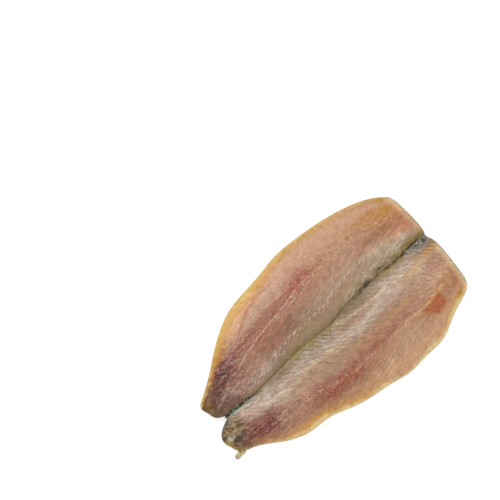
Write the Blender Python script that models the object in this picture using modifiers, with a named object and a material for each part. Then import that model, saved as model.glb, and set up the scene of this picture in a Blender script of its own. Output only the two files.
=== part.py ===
# Butterflied sardine: two fillets opened flat, joined along the back, flesh side up.
# +X points to the head end along the groove, +Y to the left fillet, +Z up.

import math

import bmesh
import bpy
from mathutils import Matrix, Vector

MM = 0.001

# Lengths below are in millimetres. "Along" runs down the groove from its notch at the
# head end (0) towards the tail; "across" runs out from the groove's straight line.
GROOVE_LENGTH = 108.0
GROOVE_SWAY = ((0.0, 0.0), (25.0, 1.7), (54.0, -0.5), (70.0, 0.2), (90.0, -1.2), (108.0, 0.0))

# Each fillet: its belly edge as (along, across); how far its head cut and its tail end
# reach past the groove, by the share of the half width out from the groove; its heights;
# and the places of its main lines, as shares of the half width.
LEFT = {
    "side": 1.0,
    "belly": ((-0.6, 22.5), (6.0, 27.6), (13.5, 30.7), (32.0, 34.6), (50.0, 35.9), (61.0, 33.9),
              (78.0, 31.9), (90.0, 26.6), (99.0, 20.0), (104.0, 16.2), (113.5, 10.5)),
    "head_reach": ((0.0, -0.2), (0.08, 0.7), (0.25, 1.2), (0.55, 1.4), (0.8, 1.3), (1.0, 0.6)),
    "tail_reach": ((0.0, -0.3), (0.14, 3.8), (0.28, 5.4), (0.6, 6.2), (0.82, 7.0), (1.0, 6.2)),
    "loin_height": ((0.0, 5.4), (0.12, 6.3), (0.4, 6.9), (0.7, 6.3), (0.9, 5.0), (1.0, 4.0)),
    "rim_height": 1.9,
    "inner_slope": 0.2,
    "outer_drop": 2.3,
    "septum": 0.56,
    "tail_fold_depth": 0.12,
}
RIGHT = {
    "side": -1.0,
    "belly": ((1.0, 25.6), (3.7, 27.8), (9.0, 29.2), (14.4, 31.1), (25.0, 36.0), (32.0, 35.4), (42.0, 36.4),
              (51.0, 34.3), (62.0, 32.8), (71.0, 30.4), (80.0, 26.9), (86.0, 27.2), (95.0, 24.8),
              (104.2, 18.6), (108.4, 16.2), (112.4, 15.0)),
    "head_reach": ((0.0, -0.2), (0.06, 1.1), (0.22, 1.6), (0.5, 1.1), (0.82, 0.4), (0.92, 0.0), (1.0, -1.0)),
    "tail_reach": ((0.0, -0.3), (0.12, 4.4), (0.22, 7.2), (0.36, 8.8), (0.5, 9.0), (0.7, 7.8), (0.85, 7.5),
                   (1.0, 4.4)),
    "loin_height": ((0.0, 5.2), (0.12, 6.1), (0.4, 6.7), (0.7, 6.3), (0.9, 5.4), (1.0, 4.4)),
    "rim_height": 1.8,
    "inner_slope": 0.3,
    "outer_drop": 2.1,
    "septum": 0.58,
    "tail_fold_depth": 0.3,
}

# Relief of the flesh side
GROOVE_FLOOR = ((0.0, 2.8), (0.12, 3.4), (0.5, 4.0), (0.85, 3.6), (1.0, 2.4))
SEPTUM_DEPTH = 0.35
SEPTUM_WIDTH = 0.055
SWELL_HEIGHT = 0.18
SWELL_LENGTH = 9.0
RIM_WAVE = 0.25
RIM_WAVE_LENGTH = 17.0
TAIL_FOLDS = 3
TAIL_FOLDS_FROM = 0.84

# Both ends round off over a short stretch
END_ROUNDING = 0.8
END_REACH = 0.03
HEAD_CUT_CREASE = 0.45

# Underside: flat where it lies, lifted a little along the back, the rim and the ends
BACK_ARCH = 0.5
RIM_LIFT = 0.45
END_LIFT = 0.35
FLAT_FROM = 0.1
FLAT_TO = 0.8

# Stops of the cage: rows from head to tail, columns from the groove to the belly edge
END_ROWS = (0.0, 0.012, 0.035, 0.075)
TAIL_ROWS = (0.96, 0.985, 1.0)
MIDDLE_ROWS = 17
MIDDLE_FROM = 0.125
MIDDLE_TO = 0.925
COLUMN_STOPS = (0.0, 0.035, 0.09, 0.16, 0.24, 0.34, 0.44, 0.51, 0.57, 0.63, 0.73, 0.83, 0.91, 0.965, 1.0)

# Loose tag of skin at the tail end of the right fillet
TAG_FOOT = (112.9, -13.4)
TAG_TIP = (117.5, -14.1)
TAG_WIDTH = 2.3
TAG_THICKNESS = 0.9
TAG_HEIGHT = 0.9

FLESH_COLOUR = (0.50, 0.29, 0.19, 1.0)
FLESH_ROUGHNESS = 0.35


def through(points, at):
    # Smooth curve through (place, value) points that never overshoots them
    if at <= points[0][0]:
        return points[0][1]
    if at >= points[-1][0]:
        return points[-1][1]
    rises = [(y1 - y0) / (x1 - x0) for (x0, y0), (x1, y1) in zip(points, points[1:])]
    index = 0
    while at > points[index + 1][0]:
        index += 1
    x0, y0 = points[index]
    x1, y1 = points[index + 1]
    u = (at - x0) / (x1 - x0)
    start = (x1 - x0) * knot_slope(rises, index)
    end = (x1 - x0) * knot_slope(rises, index + 1)
    value = y0 * (1 + 2 * u) * (1 - u) ** 2 + y1 * u * u * (3 - 2 * u)
    return value + start * u * (1 - u) ** 2 - end * u * u * (1 - u)


def knot_slope(rises, index):
    before = rises[max(index - 1, 0)]
    after = rises[min(index, len(rises) - 1)]
    if before * after <= 0:
        return 0.0
    return 2 * before * after / (before + after)


def row_stops():
    step = (MIDDLE_TO - MIDDLE_FROM) / (MIDDLE_ROWS - 1)
    middle = tuple(MIDDLE_FROM + step * index for index in range(MIDDLE_ROWS))
    return END_ROWS + middle + TAIL_ROWS


def plan_point(fillet, row, column):
    # Place seen from above: along the groove and across it
    front = -through(fillet["head_reach"], column)
    back = GROOVE_LENGTH + through(fillet["tail_reach"], column)
    along = (1 - row) * front + row * back
    belly = fillet["belly"]
    belly_along = (1 - row) * belly[0][0] + row * belly[-1][0]
    edge = fillet["side"] * through(belly, belly_along)
    across = (1 - column) * through(GROOVE_SWAY, along) + column * edge
    return along, across


def end_share(row):
    # 0 at the head cut and the tail end, 1 away from them
    return min(1.0, min(row, 1 - row) / END_REACH)


def muscle_height(fillet, row, column):
    # Up the inner slope from the groove to the loin, then down to the rim
    floor = through(GROOVE_FLOOR, row)
    crest = through(fillet["loin_height"], row)
    slope = fillet["inner_slope"]
    if column < slope:
        return crest - (crest - floor) * (1 - column / slope) ** 2
    rim = fillet["rim_height"]
    outward = (column - slope) / (1 - slope)
    return rim + (crest - rim) * (1 - outward ** fillet["outer_drop"])


def relief_height(fillet, row, column, along):
    # The crease along the septum, slow swells, the wavy rim and the folds at the tail
    middle = math.sqrt(math.sin(math.pi * row))
    from_septum = (column - fillet["septum"]) / SEPTUM_WIDTH
    septum = -SEPTUM_DEPTH * middle * math.exp(-from_septum ** 2)
    phase = along / SWELL_LENGTH + 5 * fillet["side"] * column
    swell = SWELL_HEIGHT * math.sin(phase) * math.sin(math.pi * column) * middle
    wave = RIM_WAVE * math.sin(2 * math.pi * along / RIM_WAVE_LENGTH) * column ** 6
    near_tail = max(0.0, row - TAIL_FOLDS_FROM) / (1 - TAIL_FOLDS_FROM)
    fold = math.cos(2 * math.pi * TAIL_FOLDS * column) * math.sin(math.pi * column)
    return septum + swell + wave + fillet["tail_fold_depth"] * near_tail * fold


def top_height(fillet, row, column, along):
    height = muscle_height(fillet, row, column) + relief_height(fillet, row, column, along)
    rounding = math.sin(end_share(row) * math.pi / 2)
    return height * (END_ROUNDING + (1 - END_ROUNDING) * rounding)


def under_height(row, column, along):
    arch = BACK_ARCH * max(0.0, 1 - column / FLAT_FROM)
    outward = max(0.0, (column - FLAT_TO) / (1 - FLAT_TO))
    wave = 1 + 0.5 * math.sin(2 * math.pi * along / RIM_WAVE_LENGTH)
    lift = RIM_LIFT * wave * outward ** 2
    ends = END_LIFT * (1 - end_share(row))
    return max(arch, lift, ends)


def cage_place(vertex, rows):
    # The flat grid runs from -1 to 1 both ways: rows along X, both fillets along Y
    row = rows[round((1 - vertex.co.x) / 2 * (len(rows) - 1))]
    step = round(vertex.co.y * (len(COLUMN_STOPS) - 1))
    fillet = LEFT if step >= 0 else RIGHT
    return fillet, row, COLUMN_STOPS[abs(step)]


def crease_head_cut(cage, cut):
    layer = cage.edges.layers.float.new("crease_edge")
    for edge in cage.edges:
        if edge.verts[0] in cut and edge.verts[1] in cut:
            edge[layer] = HEAD_CUT_CREASE


def fish_cage():
    # One flat grid and its copy below it, closed all round, then set to their heights
    rows = row_stops()
    cage = bmesh.new()
    bmesh.ops.create_grid(
        cage, x_segments=len(rows) - 1, y_segments=2 * len(COLUMN_STOPS) - 2, size=1.0
    )
    upper = set(cage.verts)
    bmesh.ops.extrude_face_region(cage, geom=list(cage.faces), use_keep_orig=True)
    cut = set()
    for vertex in cage.verts:
        fillet, row, column = cage_place(vertex, rows)
        along, across = plan_point(fillet, row, column)
        if vertex in upper:
            height = top_height(fillet, row, column, along)
        else:
            height = under_height(row, column, along)
        vertex.co = Vector((-along, across, height)) * MM
        if row == 0.0:
            cut.add(vertex)
    crease_head_cut(cage, cut)
    bmesh.ops.recalc_face_normals(cage, faces=list(cage.faces))
    mesh = bpy.data.meshes.new("sardine")
    cage.to_mesh(mesh)
    cage.free()
    return mesh


def skin_tag(collection):
    # A flattened round strip whose foot sits inside the tail end
    foot = Vector((-TAG_FOOT[0], TAG_FOOT[1], TAG_HEIGHT)) * MM
    tip = Vector((-TAG_TIP[0], TAG_TIP[1], TAG_HEIGHT)) * MM
    reach = tip - foot
    size = Vector((reach.length, TAG_WIDTH * MM, TAG_THICKNESS * MM)) / 2
    turn = Matrix.Rotation(math.atan2(reach.y, reach.x), 4, "Z")
    place = Matrix.Translation((foot + tip) / 2) @ turn @ Matrix.Diagonal(size).to_4x4()
    form = bmesh.new()
    bmesh.ops.create_uvsphere(form, u_segments=12, v_segments=8, radius=1.0, matrix=place)
    mesh = bpy.data.meshes.new("skin_tag")
    form.to_mesh(mesh)
    form.free()
    tag = bpy.data.objects.new("skin_tag", mesh)
    tag.hide_render = True
    tag.display_type = "WIRE"
    collection.objects.link(tag)
    return tag


def flesh_material():
    material = bpy.data.materials.new("flesh")
    material.use_nodes = True
    surface = material.node_tree.nodes["Principled BSDF"]
    surface.inputs["Base Color"].default_value = FLESH_COLOUR
    surface.inputs["Roughness"].default_value = FLESH_ROUGHNESS
    surface.inputs["Metallic"].default_value = 0.0
    return material


def new_collection(name):
    collection = bpy.data.collections.new(name)
    bpy.context.scene.collection.children.link(collection)
    return collection


def centre_on_floor(body, helper):
    # The middle of the body's box goes to the origin, and its lowest point to the floor
    bpy.context.view_layer.update()
    graph = bpy.context.evaluated_depsgraph_get()
    corners = [Vector(corner) for corner in body.evaluated_get(graph).bound_box]
    low = Vector([min(corner[axis] for corner in corners) for axis in range(3)])
    high = Vector([max(corner[axis] for corner in corners) for axis in range(3)])
    middle = (low + high) / 2
    for piece in (body, helper):
        piece.data.transform(Matrix.Translation((-middle.x, -middle.y, -low.z)))


def build_fish():
    for old in list(bpy.data.objects):
        bpy.data.objects.remove(old, do_unlink=True)
    parts = new_collection("butterflied_sardine")
    helpers = new_collection("joined_pieces")
    fish = bpy.data.objects.new("sardine", fish_cage())
    fish.data.materials.append(flesh_material())
    fish.data.shade_smooth()
    parts.objects.link(fish)
    tag = skin_tag(helpers)
    soft = fish.modifiers.new("soft_form", "SUBSURF")
    soft.levels = 1
    soft.render_levels = 1
    join = fish.modifiers.new("skin_tag", "BOOLEAN")
    join.operation = "UNION"
    join.solver = "EXACT"
    join.object = tag
    centre_on_floor(fish, tag)


build_fish()
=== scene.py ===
# Butterflied sardine, opened flat with the flesh side up
import math
from types import SimpleNamespace

import bmesh
import bpy
import numpy as np
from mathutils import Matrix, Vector
from mathutils.bvhtree import BVHTree


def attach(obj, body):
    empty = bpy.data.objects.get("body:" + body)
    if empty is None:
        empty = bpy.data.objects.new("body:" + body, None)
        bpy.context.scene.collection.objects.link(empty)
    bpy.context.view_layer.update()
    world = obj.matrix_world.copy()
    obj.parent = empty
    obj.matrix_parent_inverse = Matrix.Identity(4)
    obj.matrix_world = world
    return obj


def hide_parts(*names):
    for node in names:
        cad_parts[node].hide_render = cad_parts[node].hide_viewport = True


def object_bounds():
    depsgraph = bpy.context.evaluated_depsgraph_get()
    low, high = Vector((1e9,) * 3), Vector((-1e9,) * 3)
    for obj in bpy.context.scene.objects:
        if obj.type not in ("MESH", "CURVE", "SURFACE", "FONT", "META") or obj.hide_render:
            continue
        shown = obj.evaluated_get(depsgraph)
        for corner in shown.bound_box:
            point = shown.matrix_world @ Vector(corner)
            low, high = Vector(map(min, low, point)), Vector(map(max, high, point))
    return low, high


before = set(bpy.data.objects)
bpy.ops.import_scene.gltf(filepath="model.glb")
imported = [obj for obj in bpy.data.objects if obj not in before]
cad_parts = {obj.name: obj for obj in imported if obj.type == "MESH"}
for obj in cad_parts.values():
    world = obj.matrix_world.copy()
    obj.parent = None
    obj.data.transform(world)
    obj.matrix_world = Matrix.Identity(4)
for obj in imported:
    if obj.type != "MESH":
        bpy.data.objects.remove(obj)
solidLow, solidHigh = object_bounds()
mm = 0.001
fishNode = "sardine"
print("frame loaded")

# Camera: looks down on the fish, head end to the upper right, a little off the middle
cameraSettings = {
    "elevation": 78.0,
    "azimuth": -42.0,
    "distance": 484 * mm,
    "aim": (1.05 * mm, 44.5 * mm, 0.0),
    "lens": 85.0,
    "sensor": 36.0,
}


def addCamera(settings):
    turn = math.radians(settings["azimuth"])
    rise = math.radians(settings["elevation"])
    back = Vector((math.sin(turn) * math.cos(rise), -math.cos(turn) * math.cos(rise), math.sin(rise)))
    data = bpy.data.cameras.new("camera")
    data.lens = settings["lens"]
    data.sensor_width = settings["sensor"]
    data.clip_start = 0.01
    camera = bpy.data.objects.new("camera", data)
    camera.location = Vector(settings["aim"]) + back * settings["distance"]
    camera.rotation_euler = (-back).to_track_quat("-Z", "Y").to_euler()
    bpy.context.scene.collection.objects.link(camera)
    bpy.context.scene.camera = camera


addCamera(cameraSettings)

# Where things are along the fish: millimetres from the notch at the head end
fishPlan = {
    "headOverhang": 1.57,     # the head cut stands this far past its notch
    "grooveLength": 108.0,
    "grooveSide": 0.15,       # the groove's straight line, to the left of the middle
    "grooveSway": ((0, 0), (25, 1.7), (54, -0.5), (70, 0.2), (90, -1.2), (108, 0)),
    "headCorner": {1: 21.6, -1: 24.2},
    "tailCorner": {1: 10.6, -1: 15.6},
    "tagSpan": (-16.4, -11.8),
    "tagFoot": (113.4, -13.5),
    "tagClear": 2.2,
    "rimLevel": 0.9,          # height at which the outline is widest
    "inset": 0.5,
}


def smoothCurve(points, at):
    # Passes through (place, value) points with no overshoot
    xs = np.array([p[0] for p in points], float)
    ys = np.array([p[1] for p in points], float)
    rises = np.diff(ys) / np.diff(xs)
    before = np.concatenate([rises[:1], rises])
    after = np.concatenate([rises, rises[-1:]])
    product = before * after
    total = np.where(np.abs(before + after) < 1e-9, 1.0, before + after)
    slopes = np.where(product > 0, 2 * product / total, 0.0)
    at = np.clip(np.asarray(at, float), xs[0], xs[-1])
    k = np.clip(np.searchsorted(xs, at) - 1, 0, len(xs) - 2)
    width = xs[k + 1] - xs[k]
    u = (at - xs[k]) / width
    value = ys[k] * (1 + 2 * u) * (1 - u) ** 2 + ys[k + 1] * u * u * (3 - 2 * u)
    return value + width * (slopes[k] * u * (1 - u) ** 2 - slopes[k + 1] * u * u * (1 - u))


def alongOf(x):
    return (solidHigh.x - x) / mm - fishPlan["headOverhang"]


def xOf(along):
    return solidHigh.x - (along + fishPlan["headOverhang"]) * mm


def grooveY(x):
    sway = smoothCurve(fishPlan["grooveSway"], alongOf(x))
    return (fishPlan["grooveSide"] + sway) * mm


def smoothSolid():
    # The frame's solid with its facets rounded, as a tree for casting rays
    form = bmesh.new()
    form.from_mesh(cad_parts[fishNode].data)
    samePlace, flatEnough = 1e-6, math.radians(40)
    bmesh.ops.remove_doubles(form, verts=form.verts, dist=samePlace)
    bmesh.ops.join_triangles(
        form, faces=form.faces, angle_face_threshold=flatEnough, angle_shape_threshold=flatEnough
    )
    mesh = bpy.data.meshes.new("smoothSolid")
    form.to_mesh(mesh)
    form.free()
    solid = bpy.data.objects.new("smoothSolid", mesh)
    bpy.context.scene.collection.objects.link(solid)
    soft = solid.modifiers.new("soft", "SUBSURF")
    soft.levels = 2
    soft.subdivision_type = "CATMULL_CLARK"
    bpy.context.view_layer.update()
    tree = BVHTree.FromObject(solid, bpy.context.evaluated_depsgraph_get())
    bpy.data.objects.remove(solid)
    return tree


solidTree = smoothSolid()
print("smooth solid ready")


def castAll(starts, directions):
    # Hit point of each ray, or the nearest point of the solid where a ray misses
    hits = np.empty((len(starts), 3))
    for k, (start, direction) in enumerate(zip(starts, directions)):
        hit = solidTree.ray_cast(Vector(start), Vector(direction))[0]
        if hit is None:
            hit = solidTree.find_nearest(Vector(start))[0]
        hits[k] = hit
    return hits


# Where rays start: heights above and below the fish, and a distance to its side
aboveFish = 0.05
belowFish = -0.01
besideFish = 0.1
furthestHit = 2 * mm    # a wall point further from its ray's start is on something else


def castFrom(height, x, y):
    # Down from above the fish, or up from below it
    starts = np.column_stack([x.ravel(), y.ravel(), np.full(x.size, height)])
    return castAll(starts, np.tile([0.0, 0.0, -np.sign(height)], (x.size, 1)))


def castIn(axis, end, places):
    # Level in from one side (axis 1) or end (axis 0) of the fish
    starts = np.full((len(places), 3), fishPlan["rimLevel"] * mm)
    starts[:, axis] = end * besideFish
    starts[:, 1 - axis] = places
    directions = np.zeros_like(starts)
    directions[:, axis] = -end
    return castAll(starts, directions)[:, axis]


def endOutline(end, ys):
    xs = castIn(0, end, ys)
    if end < 0:    # the tag isn't part of the outline
        low, high = np.array(fishPlan["tagSpan"]) * mm
        clear = (ys < low) | (ys > high)
        order = np.argsort(ys[clear])
        xs = np.where(clear, xs, np.interp(ys, ys[clear][order], xs[clear][order]))
    return xs


def planGrid(rows, columns):
    # Plan of the whole fish: rows from head to tail, columns from the right rim (-1) to the left rim (1),
    # and what is known of each point
    share = np.linspace(-1, 1, 2 * columns + 1)
    down = np.linspace(0, 1, rows + 1)
    inset = fishPlan["inset"] * mm
    side = np.where(share < 0, -1, 1)
    corner = {
        end: np.where(side > 0, fishPlan[name][1], -fishPlan[name][-1]) * mm
        for end, name in ((1, "headCorner"), (-1, "tailCorner"))
    }
    notchX = {1: xOf(0.0), -1: xOf(fishPlan["grooveLength"])}
    ends = {}
    for end in (1, -1):
        ys = grooveY(notchX[end]) * (1 - np.abs(share)) + corner[end] * np.abs(share)
        ends[end] = endOutline(end, ys) - end * inset
    x = ends[1][None, :] * (1 - down[:, None]) + ends[-1][None, :] * down[:, None]
    rim = {}
    for s, column in ((-1, 0), (1, -1)):
        rim[s] = castIn(1, s, x[:, column]) - s * inset
    rimY = np.where(side[None, :] > 0, rim[1][:, None], rim[-1][:, None])
    y = grooveY(x) * (1 - np.abs(share)) + rimY * np.abs(share)
    reach = np.abs(rimY - grooveY(x)) / mm
    known = {
        "along": alongOf(x),
        "off": reach * np.abs(share),
        "reach": reach,
        "share": np.abs(share),
        "side": np.where(share < 0, -1.0, 1.0),
        "row": np.arange(rows + 1)[:, None] / rows,
    }
    return x, y, {name: np.broadcast_to(values, x.shape).ravel() for name, values in known.items()}


# Soft random relief: the same on every run
noiseSeed = 11


def softNoise(x, y, size, seed, stretch=1.0):
    rng = np.random.default_rng(noiseSeed + seed)
    table = rng.uniform(-1, 1, (128, 128))
    u = x / (size * stretch) + 37.3
    v = y / size + 51.7
    i, j = np.floor(u).astype(int), np.floor(v).astype(int)
    fu, fv = u - i, v - j
    fu, fv = fu * fu * (3 - 2 * fu), fv * fv * (3 - 2 * fv)

    def corner(di, dj):
        return table[(i + di) % 128, (j + dj) % 128]

    low = corner(0, 0) * (1 - fu) + corner(1, 0) * fu
    high = corner(0, 1) * (1 - fu) + corner(1, 1) * fu
    return low * (1 - fv) + high * fv


def layeredNoise(x, y, size, seed, stretch=1.0, layers=3):
    total, strength = 0.0, 1.0
    for k in range(layers):
        total = total + strength * softNoise(x, y, size / 2 ** k, seed + 7 * k, stretch)
        strength *= 0.55
    return total


def bump(value, middle, width):
    return np.exp(-((value - middle) / width) ** 2)


def ramp(value, start, end):
    u = np.clip((value - start) / (end - start), 0, 1)
    return u * u * (3 - 2 * u)


def meshFrom(name, points, faces):
    mesh = bpy.data.meshes.new(name)
    mesh.from_pydata(points.tolist(), [], faces)
    mesh.update()
    piece = bpy.data.objects.new(name, mesh)
    bpy.context.scene.collection.objects.link(piece)
    mesh.shade_smooth()
    return piece


def setNumber(mesh, name, values):
    attribute = mesh.attributes.new(name, "FLOAT", "POINT")
    attribute.data.foreach_set("value", np.asarray(values, np.float32))


def setVector(mesh, name, *columns):
    attribute = mesh.attributes.new(name, "FLOAT_VECTOR", "POINT")
    attribute.data.foreach_set("vector", np.column_stack(columns).astype(np.float32).ravel())


def pointsOf(mesh):
    points = np.empty(len(mesh.vertices) * 3, np.float32)
    mesh.vertices.foreach_get("co", points)
    return points.reshape(-1, 3).astype(float)


def pushOut(mesh, distance):
    # Moves each point along its normal by its distance in millimetres
    normals = np.empty(len(mesh.vertices) * 3, np.float32)
    mesh.vertex_normals.foreach_get("vector", normals)
    moved = pointsOf(mesh) + normals.reshape(-1, 3) * (distance * mm)[:, None]
    mesh.vertices.foreach_set("co", moved.astype(np.float32).ravel())
    mesh.update()


def gridFaces(rows, columns):
    # Quads of a (rows + 1) by (columns + 1) grid of points, seen counter-clockwise from above
    i, j = np.meshgrid(np.arange(rows), np.arange(columns), indexing="ij")
    first = (i * (columns + 1) + j).ravel()
    return np.column_stack([first, first + 1, first + columns + 2, first + columns + 1])


def edgeLoop(rows, columns):
    # Point numbers round the grid's edge, counter-clockwise from above
    wide = columns + 1
    head = list(range(columns))
    left = [r * wide + columns for r in range(rows)]
    tail = [rows * wide + c for c in range(columns, 0, -1)]
    right = [r * wide for r in range(rows, 0, -1)]
    return np.array(head + left + tail + right)


def bandFaces(above, below):
    # Quads between two loops, facing out where the loops run counter-clockwise from above
    return np.column_stack([above, below, np.roll(below, -1), np.roll(above, -1)])


def outwardOf(edge):
    # Level direction out of the fish at each point of its edge
    ahead = np.roll(edge, -3, 0) - np.roll(edge, 3, 0)
    outward = np.column_stack([ahead[:, 1], -ahead[:, 0]])
    for _ in range(3):
        outward = outward + np.roll(outward, 1, 0) + np.roll(outward, -1, 0)
    return outward / np.linalg.norm(outward, axis=1)[:, None]


def castOut(edge, outward, level):
    # Places on the solid's side round the edge, found from inside, straight on past the tag of skin
    starts = np.column_stack([edge[:, :2], level])
    ring = castAll(starts, np.column_stack([outward, np.zeros(len(edge))]))
    foot, clear = fishPlan["tagFoot"], fishPlan["tagClear"]
    gap = np.hypot(alongOf(edge[:, 0]) - foot[0], edge[:, 1] / mm - foot[1])
    free = (gap > clear) & (np.linalg.norm(ring - starts, axis=1) < furthestHit)
    number = np.arange(len(edge))
    for axis in range(2):
        ring[:, axis] = np.interp(number, number[free], ring[free, axis])
    return ring


# Skin: it covers the underside and comes up the sides to a lip, higher at the tail end
skinSettings = {
    "rows": 190,
    "columns": 56,
    "lipLevels": 7,
    "thickness": 0.28,
    "proud": 0.05,            # how far the lip stands out from the flesh above it
    "lip": 0.95,
    "lipWave": 0.12,
    "tailLip": 0.75,
    "headLip": 0.3,
}


def lipHeight(edge):
    # Height in mm up to which skin covers the side at this point of the edge
    along, across = alongOf(edge[:, 0]), (edge[:, 1] - grooveY(edge[:, 0])) / mm
    wave = layeredNoise(along, across, 9, 90, layers=2) * skinSettings["lipWave"]
    tail = ramp(along, 106.5, 109) * ramp(-across, -1, 1) * (1 - ramp(-across, 8, 11))
    head = (1 - ramp(along, 1, 6)) * (1 - ramp(np.abs(across), 3, 24))
    return skinSettings["lip"] + wave + tail * skinSettings["tailLip"] + head * skinSettings["headLip"]


# Flesh: the whole body, from the cut face down to where the skin begins
fleshSettings = {
    "rows": 352,
    "columns": 112,
    "wallLevels": 13,
    "underStep": 4,
    "skinInset": 0.08,        # how far the flesh stands back where the skin covers it
    "skinFade": 0.35,
}


def underFaces(ring, grid, rows, columns, step):
    # Coarse faces of the underside, which share the last ring's points along their edge
    ringAt = dict(zip(grid, ring))
    inner = {}
    faces = []
    for row in range(0, rows, step):
        for column in range(0, columns, step):
            walk = [(row, column + k) for k in range(step)]
            walk += [(row + k, column + step) for k in range(step)]
            walk += [(row + step, column + step - k) for k in range(step)]
            walk += [(row + step - k, column) for k in range(step)]
            corners = {walk[0], walk[step], walk[2 * step], walk[3 * step]}
            faces.append([p for p in reversed(walk) if p in corners or p in ringAt])
    for face in faces:
        for place in face:
            if place not in ringAt:
                inner.setdefault(place, len(inner))
    return faces, ringAt, inner


def buildFlesh(settings):
    rows, columns, step = settings["rows"], 2 * settings["columns"], settings["underStep"]
    x, y, known = planGrid(rows, settings["columns"])
    top = castFrom(aboveFish, x, y)
    loop = edgeLoop(rows, columns)
    edge = top[loop]
    outward = outwardOf(edge)
    underneath = castFrom(belowFish, edge[:, 0], edge[:, 1])[:, 2]
    lip = lipHeight(edge) * mm
    thickness = skinSettings["thickness"] * mm
    points, faces = [top], [gridFaces(rows, columns)]
    owners, walls = [np.arange(len(top))], [np.zeros(len(top))]
    above, count = loop, len(top)
    for k in range(1, settings["wallLevels"] + 1):
        part = (1 - math.cos(math.pi * k / settings["wallLevels"])) / 2
        level = edge[:, 2] + (underneath - edge[:, 2]) * part
        if k < settings["wallLevels"]:
            ring = castOut(edge, outward, level)
        else:
            ring = np.column_stack([edge[:, :2], underneath])
        covered = ramp(lip - ring[:, 2], 0, settings["skinFade"] * mm)
        ring[:, :2] -= outward * (settings["skinInset"] * mm * covered)[:, None]
        ring[:, 2] = np.maximum(ring[:, 2], underneath + thickness)
        below = count + np.arange(len(loop))
        faces.append(bandFaces(above, below))
        points.append(ring)
        owners.append(loop)
        walls.append(np.full(len(loop), part))
        above, count = below, count + len(loop)
    loopPlaces = [(p // (columns + 1), p % (columns + 1)) for p in loop.tolist()]
    coarse, ringAt, inner = underFaces(above.tolist(), loopPlaces, rows, columns, step)
    innerPlaces = np.array(sorted(inner, key=inner.get))
    innerPoints = innerPlaces[:, 0] * (columns + 1) + innerPlaces[:, 1]
    under = castFrom(belowFish, top[innerPoints, 0], top[innerPoints, 1])
    under[:, 2] += thickness
    points.append(under)
    owners.append(innerPoints)
    walls.append(np.ones(len(under)))
    quads = np.concatenate(faces).tolist()
    for face in coarse:
        quads.append([ringAt[p] if p in ringAt else count + inner[p] for p in face])
    points, owners = np.concatenate(points), np.concatenate(owners)
    piece = meshFrom("flesh", points, quads)
    fish = SimpleNamespace(**{name: values[owners] for name, values in known.items()})
    fish.wall = np.concatenate(walls)
    fish.deep = (top[owners, 2] - points[:, 2]) / mm
    return piece, fish


flesh, fish = buildFlesh(fleshSettings)
print("flesh form:", len(flesh.data.vertices), "points")

# Lines of the flesh as (along, value) points, with along in mm from the head notch: the septum as a share
# of the half width, the fat rim's width in mm, and the corners of the rust patch and the pits in mm
fleshMarks = {
    "septum": {
        1: (
            (-2, 0.57), (12, 0.57), (41, 0.55), (52, 0.555), (60, 0.53), (67, 0.5), (76, 0.485),
            (84, 0.475), (92, 0.475), (100, 0.5), (112, 0.5),
        ),
        -1: (
            (-2, 0.7), (10, 0.66), (18, 0.635), (30, 0.6), (48, 0.595), (60, 0.635), (70, 0.65),
            (80, 0.615), (93, 0.5), (114, 0.5),
        ),
    },
    # A fibre meets the groove this far back for each mm inside the septum, this far ahead for each beyond
    "fibreLean": {1: 2.1, -1: 1.13},
    "outerLean": {1: 1.7, -1: 2.3},
    # Distance in mm between bone lines along the groove
    "bonePitch": 2.54,
    "fatWidth": {
        1: (
            (-2, 1), (15, 1.1), (25, 1.2), (38, 1.6), (60, 2.8), (74, 4.4), (86, 5.2), (96, 3.6),
            (104, 1.9), (112, 1.2),
        ),
        -1: (
            (-2, 0.6), (5, 1.5), (16, 2), (30, 1.7), (44, 1.1), (65, 1.2), (76, 1.9), (88, 2.4),
            (98, 1.3), (102, 0.8), (105.5, 0.25), (114, 0.2),
        ),
    },
    "rust": ((15.6, 20.5), (12.2, 21), (12.2, 27), (17.2, 29), (21.4, 26.4), (22.2, 21)),
    "pits": ((11.6, -0.1), (14, -0.3), (18.2, -0.2), (24.3, 1.1), (32.1, 0.3), (36.5, 0.3)),
}

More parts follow.
